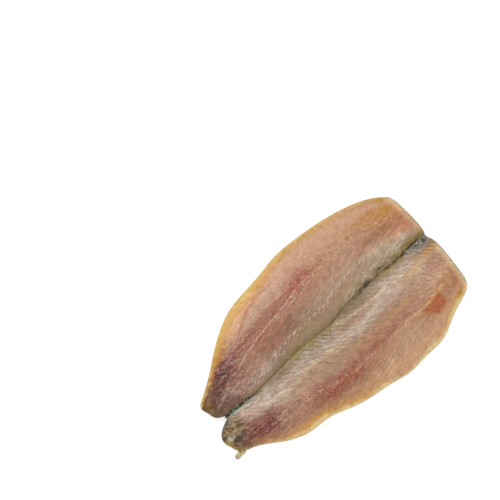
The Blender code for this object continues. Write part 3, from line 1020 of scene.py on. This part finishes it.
# Pieces that lie on the flesh: a fold of the back's skin at the head notch, and a wet strip in the tail
# end of the groove
patchSettings = {
    "backFold": {
        "rows": 96, "columns": 30, "start": -0.4, "end": 11.5,
        "middle": ((-0.4, -0.7), (2.5, -0.7), (5, -0.9), (8, -0.6), (11.5, 0.1)),
        "half": ((-0.4, 1.4), (2, 1.6), (5, 1.3), (8, 0.8), (11.5, 0.3)),
        "rise": 0.14, "ragged": 0.4, "wrinkle": 0.22, "grain": (1.2, 0.7),
        "bulges": ((2.2, -0.4, 1.15, 0.8, 0.95), (6.4, -0.6, 1.2, 0.4, 0.28), (4.6, -1.7, 1.0, 0.5, 0.3)),
    },
    "wetStrip": {
        "rows": 180, "columns": 20, "start": 94.5, "end": 110.2,
        "middle": ((94.5, 0.1), (97, -0.1), (103, -0.1), (107, 0.1), (110.2, -0.1)),
        "half": ((94.5, 0.25), (97, 0.5), (100, 0.72), (106, 0.85), (110.2, 0.8)),
        "rise": 0.2, "ragged": 0.5, "wrinkle": 0.25, "grain": (1.6, 0.35),
        "bulges": ((98.5, -0.35, 2.2, 0.3, 0.3), (103.4, 0.3, 1.8, 0.3, 0.35), (108.2, 0.2, 1.3, 0.5, 0.4)),
    },
}


bpy.context.view_layer.update()
fleshTree = BVHTree.FromObject(flesh, bpy.context.evaluated_depsgraph_get())
fleshLevel = 0.003


def groundUnder(x, y):
    # Height of the flesh, or of its nearest point where there is none below
    heights = np.empty(x.size)
    for k, (px, py) in enumerate(zip(x.ravel(), y.ravel())):
        hit = fleshTree.ray_cast(Vector((px, py, aboveFish)), Vector((0, 0, -1)))[0]
        heights[k] = fleshTree.find_nearest(Vector((px, py, fleshLevel)))[0].z if hit is None else hit.z
    return heights.reshape(x.shape)


# In mm: how far in from its ends a patch is rounded off, how deep it is sunk, how high it is at least
roundEnd = 0.6
sunk = 0.12
thinnest = 0.02


def buildPatch(name, settings):
    # A thin closed piece laid on the flesh, thickest along its middle
    rows, columns = settings["rows"], settings["columns"]
    along = np.linspace(settings["start"], settings["end"], rows + 1)[:, None]
    share = np.linspace(-1, 1, columns + 1)[None, :]
    middle = smoothCurve(settings["middle"], along)
    ragged = 1 + settings["ragged"] * layeredNoise(along, 9 * np.sign(share), 1.6, 61, layers=2)
    fromStart, fromEnd = along - settings["start"], settings["end"] - along
    rounded = np.clip(fromStart / roundEnd, 0, 1) * np.clip(fromEnd / roundEnd, 0, 1)
    half = smoothCurve(settings["half"], along) * ragged * np.sqrt(rounded)
    off = middle + half * share
    x = xOf(along + 0 * share)
    y = grooveY(x) + off * mm
    ground = groundUnder(x, y)
    crown = np.sqrt(np.clip(1 - share ** 2, 0, 1)) * np.sqrt(rounded)
    length, width = settings["grain"]
    folds = layeredNoise(along + 0 * share, off * length / width, length, 63, layers=2)
    top = (settings["rise"] + settings["wrinkle"] * folds) * crown
    for place, across, long, wide, height in settings["bulges"]:
        top = top + height * crown * np.exp(-((along - place) / long) ** 2 - ((off - across) / wide) ** 2)
    top = np.maximum(top, thinnest)
    upper = np.column_stack([x.ravel(), y.ravel(), (ground + top * mm).ravel()])
    lower = np.column_stack([x.ravel(), y.ravel(), (ground - sunk * mm).ravel()])
    loop = edgeLoop(rows, columns)
    quads, below = gridFaces(rows, columns), len(upper)
    faces = [quads, quads[:, ::-1] + below, bandFaces(loop, loop + below)]
    piece = meshFrom(name, np.concatenate([upper, lower]), np.concatenate(faces).tolist())
    both = [np.tile(values.ravel(), 2) for values in (along + 0 * share, off, top, share + 0 * along)]
    setVector(piece.data, "place", both[0], both[1], 0 * both[0])
    setNumber(piece.data, "top", both[2])
    setNumber(piece.data, "share", both[3])
    print(name, "form:", len(piece.data.vertices), "points")
    return piece


# The tag of skin that hangs off the tail end of the right fillet
tagSettings = {
    "foot": (111.6, -14.2),
    "tip": (117.5, -14.5),
    "bend": 0.2,
    "rows": 44,
    "ring": 22,
    "height": 0.9,
    "lift": 0.1,
    "halfWidth": ((0, 0.4), (0.35, 1.1), (0.55, 1.05), (0.75, 1.1), (1, 1)),
    "halfThickness": ((0, 0.42), (0.5, 0.32), (1, 0.38)),
}


def buildTag(settings):
    u = np.linspace(0, 1, settings["rows"] + 1)
    foot, tip = np.array(settings["foot"]), np.array(settings["tip"])
    length = np.linalg.norm(tip - foot)
    ahead = (tip - foot) / length
    beside = np.array([-ahead[1], ahead[0]])
    ends = np.sqrt(np.clip(1 - ((u - 0.8) / 0.2) ** 2 * (u > 0.8), 0, 1))
    points = []
    for k, share in enumerate(u):
        centre = foot + ahead * length * share + beside * settings["bend"] * math.sin(math.pi * share)
        wide = smoothCurve(settings["halfWidth"], share) * ends[k]
        thick = smoothCurve(settings["halfThickness"], share) * ends[k]
        for step in range(settings["ring"]):
            turn = 2 * math.pi * step / settings["ring"]
            rough = 1 + 0.12 * math.sin(3 * turn + 9 * share) * share
            place = centre + beside * wide * rough * math.cos(turn)
            crease = 0.25 * thick * math.exp(-((math.cos(turn) - 0.1) / 0.25) ** 2) * max(math.sin(turn), 0)
            height = settings["height"] + settings["lift"] * share + thick * math.sin(turn) - crease
            points.append((xOf(place[0]), place[1] * mm, height * mm))
    ring = settings["ring"]
    faces = []
    for k in range(settings["rows"]):
        for step in range(ring):
            after = (step + 1) % ring
            faces.append((k * ring + step, k * ring + after, (k + 1) * ring + after, (k + 1) * ring + step))
    faces.append(tuple(range(ring - 1, -1, -1)))
    faces.append(tuple(settings["rows"] * ring + step for step in range(ring)))
    piece = meshFrom("skinTag", np.array(points), faces)
    form = bmesh.new()
    form.from_mesh(piece.data)
    bmesh.ops.recalc_face_normals(form, faces=form.faces)
    form.to_mesh(piece.data)
    form.free()
    setNumber(piece.data, "tip", np.repeat(u, ring))
    return piece


backFold = buildPatch("backFold", patchSettings["backFold"])
wetStrip = buildPatch("wetStrip", patchSettings["wetStrip"])
skinTag = buildTag(tagSettings)
for piece in (backFold, wetStrip, skinTag):
    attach(piece, "root")
print("fold, strip and tag ready")


# Material helpers: they add nodes to the tree that startMaterial sets, and return a socket
work = {}


def shade(code):
    parts = [int(code[k:k + 2], 16) / 255 for k in (0, 2, 4)]
    linear = [p / 12.92 if p <= 0.04045 else ((p + 0.055) / 1.055) ** 2.4 for p in parts]
    return (*linear, 1.0)


def newNode(kind):
    return work["tree"].nodes.new("ShaderNode" + kind)


def feed(socket, value):
    # Links a socket, or sets a number, a vector or the code of a tone
    if isinstance(value, bpy.types.NodeSocket):
        work["tree"].links.new(value, socket)
    else:
        socket.default_value = shade(value) if isinstance(value, str) else value


def startMaterial(name):
    material = bpy.data.materials.new(name)
    material.use_nodes = True
    work["tree"] = material.node_tree
    work["tree"].nodes.clear()
    shader = newNode("BsdfPrincipled")
    feed(newNode("OutputMaterial").inputs[0], shader.outputs[0])
    return material, shader


def dress(shader, finish):
    for name, value in finish.items():
        feed(shader.inputs[name], value)


def readNumber(name):
    node = newNode("Attribute")
    node.attribute_name = name
    return node.outputs["Fac"]


def readVector(name, stretch=(1.0, 1.0, 1.0)):
    node = newNode("Attribute")
    node.attribute_name = name
    times = newNode("VectorMath")
    times.operation = "MULTIPLY"
    feed(times.inputs[0], node.outputs["Vector"])
    feed(times.inputs[1], stretch)
    return times.outputs[0]


def amountOf(value):
    # A mark's name, or a tuple for level, or a socket or number as it is
    if isinstance(value, str):
        return readNumber(value)
    return level(*value) if isinstance(value, tuple) else value


def compute(operation, *values):
    node = newNode("Math")
    node.operation = operation
    for socket, value in zip(node.inputs, values):
        feed(socket, amountOf(value))
    return node.outputs[0]


def level(value, low, high, start=0.0, end=1.0):
    node = newNode("MapRange")
    node.interpolation_type = "SMOOTHSTEP"
    for socket, number in zip(node.inputs, (value, low, high, start, end)):
        feed(socket, amountOf(number))
    return node.outputs[0]


def mixColour(share, first, second):
    node = newNode("Mix")
    node.data_type = "RGBA"
    for number, value in ((0, amountOf(share)), (6, first), (7, second)):
        feed(node.inputs[number], value)
    return node.outputs[2]


def brighten(colour, value, saturation=1.0):
    node = newNode("HueSaturation")
    for name, number in (("Color", colour), ("Value", value), ("Saturation", saturation)):
        feed(node.inputs[name], number)
    return node.outputs[0]


def part(vector, axis):
    node = newNode("SeparateXYZ")
    feed(node.inputs[0], vector)
    return node.outputs[axis]


def noise(vector, size, detail=3.0, roughness=0.6):
    node = newNode("TexNoise")
    inputs = {"Vector": vector, "Scale": 1 / size, "Detail": detail, "Roughness": roughness}
    for name, value in inputs.items():
        feed(node.inputs[name], value)
    return node.outputs["Fac"]


def beadsOf(vector, size, radius, share):
    # Round beads about the given share of scattered points
    node = newNode("TexVoronoi")
    feed(node.inputs["Vector"], vector)
    feed(node.inputs["Scale"], 1 / size)
    picked = compute("LESS_THAN", part(node.outputs["Color"], 0), share)
    return compute("MULTIPLY", (node.outputs["Distance"], radius * 0.45, radius, 1, 0), picked)


def bands(name, stops):
    node = newNode("ValToRGB")
    feed(node.inputs[0], readNumber(name))
    elements = node.color_ramp.elements
    while len(elements) < len(stops):
        elements.new(0.5)
    for element, (place, tone) in zip(elements, stops):
        element.position = place
        element.color = shade(fleshTones[tone])
    return node.outputs[0]


def relief(height, distance, strength):
    node = newNode("Bump")
    feed(node.inputs["Strength"], strength)
    feed(node.inputs["Distance"], distance)
    feed(node.inputs["Height"], height)
    return node.outputs[0]


def overlay(colour, code, *amounts):
    # Lays one colour over another, by the product of the amounts
    amount = amounts[0]
    for factor in amounts[1:]:
        amount = compute("MULTIPLY", amount, factor)
    return mixColour(amount, colour, code)


def layRows(colour, rows):
    for row in rows:
        colour = overlay(colour, *row)
    return colour


# Tones of the flesh
fleshTones = {
    "groove": "7c6a50",
    "bark": "8e765a",
    "taupe": "9c7e65",
    "fawn": "aa8b74",
    "stone": "ad937e",
    "silver": "c0a692",
    "sand": "c4a285",
    "tan": "b1886b",
    "redTan": "a57b63",
    "clay": "a97d5c",
    "ash": "b3907a",
    "dusk": "ac846f",
    "blush": "c19a80",
    "petal": "c8a388",
    "brick": "946550",
    "mauve": "a0766a",
    "russet": "8b6452",
    "wine": "633832",
    "cocoa": "7c4e45",
    "umber": "68503f",
    "chestnut": "834c22",
    "salmon": "c19276",
    "peach": "c79c7c",
    "apricot": "bb8b63",
    "amber": "bc8c42",
    "gold": "d2a468",
    "wheat": "c19a6c",
}

# Bands of tone from the groove (0) to the rim (1)
fleshBands = {
    ("left", "head"): (
        (0, "groove"), (0.06, "groove"), (0.15, "stone"), (0.26, "salmon"), (0.44, "clay"),
        (0.6, "apricot"), (0.76, "apricot"), (0.88, "petal"), (0.97, "clay"),
    ),
    ("left", "middle"): (
        (0, "bark"), (0.06, "taupe"), (0.15, "fawn"), (0.26, "stone"), (0.36, "ash"), (0.46, "dusk"),
        (0.6, "tan"), (0.76, "blush"), (0.87, "petal"), (0.97, "wheat"),
    ),
    ("left", "rear"): (
        (0, "bark"), (0.06, "bark"), (0.15, "taupe"), (0.26, "russet"), (0.35, "russet"),
        (0.44, "redTan"), (0.55, "brick"), (0.65, "redTan"), (0.76, "tan"), (0.87, "peach"),
        (0.97, "gold"),
    ),
    ("left", "tail"): (
        (0, "bark"), (0.1, "bark"), (0.2, "mauve"), (0.32, "mauve"), (0.42, "brick"), (0.55, "wine"),
        (0.78, "wine"), (0.87, "chestnut"), (0.97, "amber"),
    ),
    ("right", "head"): (
        (0, "groove"), (0.06, "umber"), (0.15, "fawn"), (0.25, "sand"), (0.35, "stone"), (0.5, "sand"),
        (0.67, "apricot"), (0.77, "clay"), (0.87, "salmon"), (0.97, "gold"),
    ),
    ("right", "middle"): (
        (0, "groove"), (0.05, "bark"), (0.13, "fawn"), (0.25, "silver"), (0.35, "fawn"), (0.45, "tan"),
        (0.55, "dusk"), (0.66, "tan"), (0.77, "tan"), (0.88, "peach"), (0.97, "peach"),
    ),
    ("right", "rear"): (
        (0, "groove"), (0.06, "groove"), (0.15, "bark"), (0.25, "fawn"), (0.37, "fawn"), (0.47, "fawn"),
        (0.55, "mauve"), (0.65, "brick"), (0.76, "brick"), (0.87, "tan"), (0.97, "gold"),
    ),
    ("right", "tail"): (
        (0, "umber"), (0.07, "bark"), (0.16, "stone"), (0.26, "stone"), (0.36, "mauve"), (0.47, "brick"),
        (0.6, "cocoa"), (0.73, "cocoa"), (0.85, "redTan"), (0.97, "wheat"),
    ),
}

# Marks laid over the bands, in this order: mark, colour, strength
underLayers = (
    ("endLeft", "3d2414", 0.95),
    ("endRight", "6f5f42", 0.85),
    ("sage", "ab9f80", 0.6),
    # soft painted shade beside the crevice
    ("creviceShade", "85714b", 0.4),
    ("swath", "93634c", 0.5),
    ("rose", "b5806c", 0.5),
    ("purple", "733631", 0.9),
    ("plum", "32100c", 0.66),
    ("brown", "5f4234", 0.85),
    ("blood", "9a5546", 0.9),
    ("bloodLine", "985d4a", 0.6),
    ("ladder", "b67a44", 0.7),
    ("straw", "c2a067", 0.7),
    ("pale", "c9a58c", 0.45),
    ("rust", "aa6346", 0.92),
    ("fatEdge", "c98f5c", 0.45),
    ("fat", "d8b073", 0.8),
    # left rim tone, partly painted shadow
    ("rimLeft", "d3bd80", 0.6),
    ("rimHead", "caa97c", 0.75),
    ("rimRight", "ead4a2", 0.7),
    ("ochre", "b07c2c", 0.8),
    ("cutPale", "e3c8a4", 0.75),
)

# Marks laid over the bones as well
overLayers = (
    ("silver", "b9a99b", 0.65),
    ("tawny", "94684c", 0.6),
    ("moss", "9a8640", 0.8),
    ("grey", "8a837a", 0.8),
    ("lumps", "c6b99b", 0.35),
    # painted shade in the tail wrinkles' troughs, painted highlight on their ridges
    ("foldTroughShade", "54402a", 0.55),
    ("foldRidgeHighlight", "bfae92", 0.4),
    ("creamRidge", "c9b08e", 0.5),
    ("crease", "a56c47", 0.7),
    ("goldLine", "d39c5c", 0.55),
    # painted shade along the head cut's edge
    ("cutLine", "93917a", 0.7),
    ("yellowEnd", "ab9648", 0.75),
    # pale spots painted as highlights of the wet flesh
    ("wetHighlight", "c3c6b6", 0.9),
    ("darkEnd", "30382f", 0.85),
)


def baseBands():
    sides = {}
    for side in ("left", "right"):
        colour = bands("band", fleshBands[(side, "middle")])
        for place in ("rear", "head", "tail"):
            colour = mixColour(place, colour, bands("band", fleshBands[(side, place)]))
        sides[side] = colour
    return mixColour("left", sides["right"], sides["left"])


def layMarks(colour, place, layers, size):
    uneven = level(noise(place, size, 4, 0.65), 0.3, 0.62, 0.65, 1.15)
    return layRows(colour, [(code, name, uneven, strength) for name, code, strength in layers])


def layBones(colour, strands, cross):
    # Bone lines, hairs and the chain of bone ends; cross breaks the strands into beads
    strong = compute("SINE", compute("MULTIPLY", "turns", 2 * math.pi))
    weak = compute("SINE", compute("MULTIPLY", "turns", 4 * math.pi))
    both = compute("MULTIPLY_ADD", strong, strongLine, compute("MULTIPLY", weak, weakLine))
    stripe = level(both, -0.6, 0.75)
    between = compute("SUBTRACT", 1, stripe)
    onChain = (compute("ABSOLUTE", "chainOff"), 0.5, 0.05)
    return layRows(colour, (
        ("77614f", "bones", between, 0.45),
        ("cabaa8", "bones", stripe, 0.4),
        ("775448", "hair", between, 0.5),
        ("e2c9bb", "hair", (stripe, 0.3, 0.8, 0.15, 1.0), (cross, 0.46, 0.6), 0.95),
        ("8a6452", "chainShade", 0.25),
        ("e0cab6", "chain", compute("MULTIPLY", onChain, (cross, 0.36, 0.56, 0.35, 1)), 0.7),
        ("dcc2a6", "ribs", (strands, 0.46, 0.6), 0.45),
        ("e0bf97", "ladder", (strong, -0.1, 0.8), 0.4),
        ("96602f", "ladder", (strong, 0.1, -0.8), 0.4),
        ("dfa997", "rose", "left", stripe, 0.35),
        ("77502f", "darkDash", (strands, 0.5, 0.6), 0.8),
    ))


def centred(value, low, high, amount):
    # Turns a value into a swing of plus or minus the amount
    swing = compute("MULTIPLY_ADD", (value, low, high), 2, -1)
    return compute("MULTIPLY", swing, amount)


def uneven(colour, strands, grain, cloud):
    # Lighter and darker by strand, grain and cloud
    swing = centred(strands, 0.32, 0.68, compute("MULTIPLY", "streaky", 0.4))
    rough = centred(grain, 0.32, 0.68, compute("MULTIPLY_ADD", "speckle", 0.26, 0.035))
    soft = centred(cloud, 0.35, 0.65, 0.1)
    value = compute("ADD", compute("ADD", compute("ADD", swing, rough), soft), 0.992)
    return brighten(colour, value, 1.12)


def curlsOf(vector, size):
    # Thin curling lines: the places where a cloudy pattern passes through its middle
    cloud = noise(vector, size, 1.5, 0.5)
    return level(compute("ABSOLUTE", compute("SUBTRACT", cloud, 0.5)), 0.035, 0)


fleshFinish = {
    "Specular IOR Level": 0.3,
    "Subsurface Weight": 0.12,
    "Subsurface Radius": (1.0, 0.45, 0.25),
    "Subsurface Scale": 0.8 * mm,
    "Coat Weight": 0.2,
    "Coat Roughness": 0.2,
}


def fleshMaterial():
    material, shader = startMaterial("fleshFinish")
    place = readVector("place")
    strands = noise(readVector("fibre", (1, 0.24, 1)), 0.75, 3, 0.62)
    cross = noise(readVector("fibre", (0.9, 1, 1)), 0.8, 2)
    grain = noise(place, 0.75, 2, 0.7)
    cloud = noise(readVector("place", (0.8, 1, 0)), 1.9, 3, 0.65)
    other = noise(readVector("fibre", (1, 0.6, 1)), 1.6)
    straws = noise(readVector("slant", (0.22, 1, 1)), 0.9, 4, 0.68)
    fibrous = noise(readVector("fibre", (1, 0.4, 1)), 0.55, 3, 0.65)
    colour = layMarks(baseBands(), place, underLayers, 2.2)
    colour = layRows(colour, (
        ("c4886f", (cloud, 0.5, 0.68), 0.15),
        ("b79e87", (other, 0.5, 0.68), "streaky", 0.5),
    ))
    colour = layBones(colour, strands, cross)
    colour = layMarks(colour, place, overLayers, 1.2)
    colour = layRows(colour, (
        # dark gaps between the bank's lumps: painted shade
        ("37321f", "gaps", (strands, 0.53, 0.43), 0.85),
        ("cfc2a6", "bank", (fibrous, 0.48, 0.62), 0.6),
        ("83745a", "bank", (fibrous, 0.46, 0.34), 0.5),
        ("3f3d26", (other, 0.5, 0.62), "moss", 0.6),
        ("c9b568", (grain, 0.54, 0.66), "moss", 0.6),
        ("dcd0c5", "silver", (straws, 0.48, 0.62), 0.6),
        ("8a7668", "silver", (straws, 0.46, 0.34), 0.45),
        ("dccab0", "creamRidge", (straws, 0.44, 0.6), 0.75),
        # pale septum line, partly painted highlight
        ("e2b89c", "septumLine", (grain, 0.46, 0.6), 0.75),
        ("522a2b", (cloud, 0.56, 0.42), "purple", 0.6),
        ("4a2628", (grain, 0.5, 0.38), "purple", 0.55),
        ("b97b6d", (fibrous, 0.54, 0.69), "purple", 0.5),
        ("d9a493", (grain, 0.61, 0.69), "purple", 0.4),
    ))
    colour = uneven(colour, strands, grain, cloud)
    curls = curlsOf(readVector("place", (0.9, 1.0, 1.0)), 1.3)
    beads = beadsOf(readVector("place", (0.8, 1.0, 1.0)), 1.05, 0.36, 0.4)
    fine = beadsOf(readVector("fibre", (1.0, 0.6, 1.0)), 1.5, 0.22, 0.3)
    aside = compute("DIVIDE", compute("ABSOLUTE", "crevice"), "creviceWidth")
    colour = layRows(colour, (
        ("ecd0bc", curls, "curls", (other, 0.4, 0.52), 0.75),
        # pale beads and specks: partly pale flecks of the flesh, partly painted glints
        ("e9c5ae", beads, "beads", 0.75),
        ("edd3c0", fine, "speckle", 0.9),
        # tail pits: dark flesh with painted shade in the hollows
        ("3c2410", "tailPit", 0.9),
        # the crevice's dark line and pits: the back's dark skin with painted shade in the crevice
        ("5e4a26", (aside, 2.6, 0.8), "creviceDark", 0.6),
        ("2e2410", (aside, 1.4, 0.3), "creviceDark", 0.85),
        ("2c2e24", "pits", 0.6),
        ("b48a70", "cutFace", 0.6),
    ))
    bumps = compute("MULTIPLY_ADD", strands, "streaky", compute("MULTIPLY", grain, "grainy"))
    bumps = compute("MULTIPLY_ADD", beads, compute("MULTIPLY", "beads", 0.25), bumps)
    bumps = compute("MULTIPLY_ADD", curls, compute("MULTIPLY", "curls", 0.3), bumps)
    bumps = compute("MULTIPLY_ADD", cross, "hair", bumps)
    dress(shader, fleshFinish)
    dress(shader, {
        "Base Color": colour,
        "Roughness": compute("MULTIPLY_ADD", "plum", 0.3, 0.48),
        "Normal": relief(bumps, 0.2 * mm, 0.85),
    })
    return material


flesh.data.materials.append(fleshMaterial())
print("flesh finish ready")

# Skin colours by mm off the line of the back, and of its lip
skinTones = {
    "back": "26333a",
    "flank": "7d8a90",
    "belly": "cfccc2",
    "scaleEdge": "59646a",
    "lip": "c6ae7e",
    "darkLip": "39423c",
}


def skinMaterial(tones):
    material, shader = startMaterial("skinFinish")
    colour = mixColour(("off", 7.0, 12.0), tones["back"], tones["flank"])
    colour = mixColour(("off", 12.0, 20.0), colour, tones["belly"])
    place = readVector("place")
    waves = []
    for slope in (0.8, -0.8):
        along = compute("MULTIPLY", part(place, 0), 1.1)
        turn = compute("MULTIPLY_ADD", part(place, 1), slope, along)
        waves.append(compute("ABSOLUTE", compute("SINE", turn)))
    scale = level(compute("MINIMUM", *waves), 0, 0.3)
    colour = overlay(colour, tones["scaleEdge"], (scale, 0.0, 1.0, 0.35, 0.0))
    colour = brighten(colour, level(noise(place, 6, 4), 0.3, 0.7, 0.8, 1.15))
    lipShare = level("rise", 0.15, 0.5)
    lip = mixColour("darkLip", tones["lip"], tones["darkLip"])
    dress(shader, {
        "Base Color": mixColour(lipShare, colour, lip),
        "Metallic": level(lipShare, 0, 1, 0.35, 0),
        "Roughness": 0.3,
        "Coat Weight": 0.4,
        "Coat Roughness": 0.12,
        "Normal": relief(scale, 0.12 * mm, 0.7),
    })
    return material


skin.data.materials.append(skinMaterial(skinTones))
print("skin finish ready")

# Tones of the loose pieces
patchTones = {
    "foldDark": "2b2326",
    "foldPlum": "4d3a40",
    "foldGrey": "8e867c",
    "foldOlive": "6d6650",
    "stripDark": "1f2016",
    "stripGreen": "4a4d34",
    "stripPale": "bcbfa9",
    "tagCream": "c2b083",
    "tagGrey": "8a8468",
    "tagRoot": "b08a45",
}


def wetShader(shader, colour, roughness, coat=0.6):
    dress(shader, {
        "Base Color": colour,
        "Roughness": roughness,
        "Specular IOR Level": 0.3,
        "Coat Weight": coat,
        "Coat Roughness": 0.06,
    })


def foldMaterial(tones):
    material, shader = startMaterial("backFoldFinish")
    place = readVector("place")
    cloud = noise(place, 1.1)
    colour = mixColour((cloud, 0.42, 0.6), tones["foldGrey"], tones["foldOlive"])
    dark = mixColour((cloud, 0.4, 0.65), tones["foldDark"], tones["foldPlum"])
    wetShader(shader, mixColour(("top", 0.3, 0.6), colour, dark), 0.22, 1.0)
    feed(shader.inputs["Normal"], relief(noise(place, 0.5, 2), 0.05 * mm, 0.5))
    return material


def stripMaterial(tones):
    material, shader = startMaterial("wetStripFinish")
    threads = noise(readVector("place", (0.35, 1, 1)), 0.4, 3, 0.65)
    colour = mixColour((threads, 0.4, 0.6), tones["stripDark"], tones["stripGreen"])
    rightEdge = compute("MULTIPLY", ("share", -0.2, -0.85), 0.8)
    pale = compute("MAXIMUM", (threads, 0.54, 0.6), rightEdge)
    wetShader(shader, mixColour(pale, colour, tones["stripPale"]), 0.35)
    feed(shader.inputs["Normal"], relief(threads, 0.15 * mm, 0.8))
    return material


def tagMaterial(tones):
    material, shader = startMaterial("skinTagFinish")
    colour = mixColour(("tip", 0.75, 1.0), tones["tagCream"], tones["tagGrey"])
    wetShader(shader, mixColour(("tip", 0.4, 0.15), colour, tones["tagRoot"]), 0.4)
    return material


backFold.data.materials.append(foldMaterial(patchTones))
wetStrip.data.materials.append(stripMaterial(patchTones))
skinTag.data.materials.append(tagMaterial(patchTones))
print("fold, strip and tag finishes ready")


# Floor and light: a pale floor and world, with a key light behind the fish and a wide fill in front
stageSettings = {
    "floorHalf": 1.5,
    "floorHeight": -0.0002,
    "floorTone": 0.45,
    "floorRoughness": 0.9,
    "floorGlow": 0.7,
    "worldStrength": 0.57,
    # name, place, size, power
    "lights": (("keyLight", (-0.08, 0.47, 0.72), 0.3, 3.1), ("fillLight", (0.3, -0.5, 0.7), 0.8, 1.0)),
}
white = (1.0, 1.0, 1.0, 1.0)


def addFloor(settings):
    mesh = bpy.data.meshes.new("floor")
    form = bmesh.new()
    bmesh.ops.create_grid(form, x_segments=1, y_segments=1, size=settings["floorHalf"])
    form.to_mesh(mesh)
    form.free()
    floor = bpy.data.objects.new("floor", mesh)
    floor.location.z = settings["floorHeight"]
    bpy.context.scene.collection.objects.link(floor)
    material, shader = startMaterial("floorFinish")
    dress(shader, {
        "Base Color": (*[settings["floorTone"]] * 3, 1.0),
        "Roughness": settings["floorRoughness"],
        "Emission Color": white,
        "Emission Strength": settings["floorGlow"],
    })
    mesh.materials.append(material)


def addLight(name, place, size, power):
    data = bpy.data.lights.new(name, "AREA")
    data.shape = "DISK"
    data.size = size
    data.energy = power
    light = bpy.data.objects.new(name, data)
    light.location = place
    light.rotation_euler = (-Vector(place)).to_track_quat("-Z", "Y").to_euler()
    bpy.context.scene.collection.objects.link(light)


def addWorld(settings):
    world = bpy.data.worlds.new("studio")
    world.use_nodes = True
    backdrop = world.node_tree.nodes["Background"]
    backdrop.inputs["Color"].default_value = white
    backdrop.inputs["Strength"].default_value = settings["worldStrength"]
    bpy.context.scene.world = world
    bpy.context.scene.view_settings.view_transform = "Standard"
    bpy.context.scene.view_settings.look = "None"


addFloor(stageSettings)
for row in stageSettings["lights"]:
    addLight(*row)
addWorld(stageSettings)
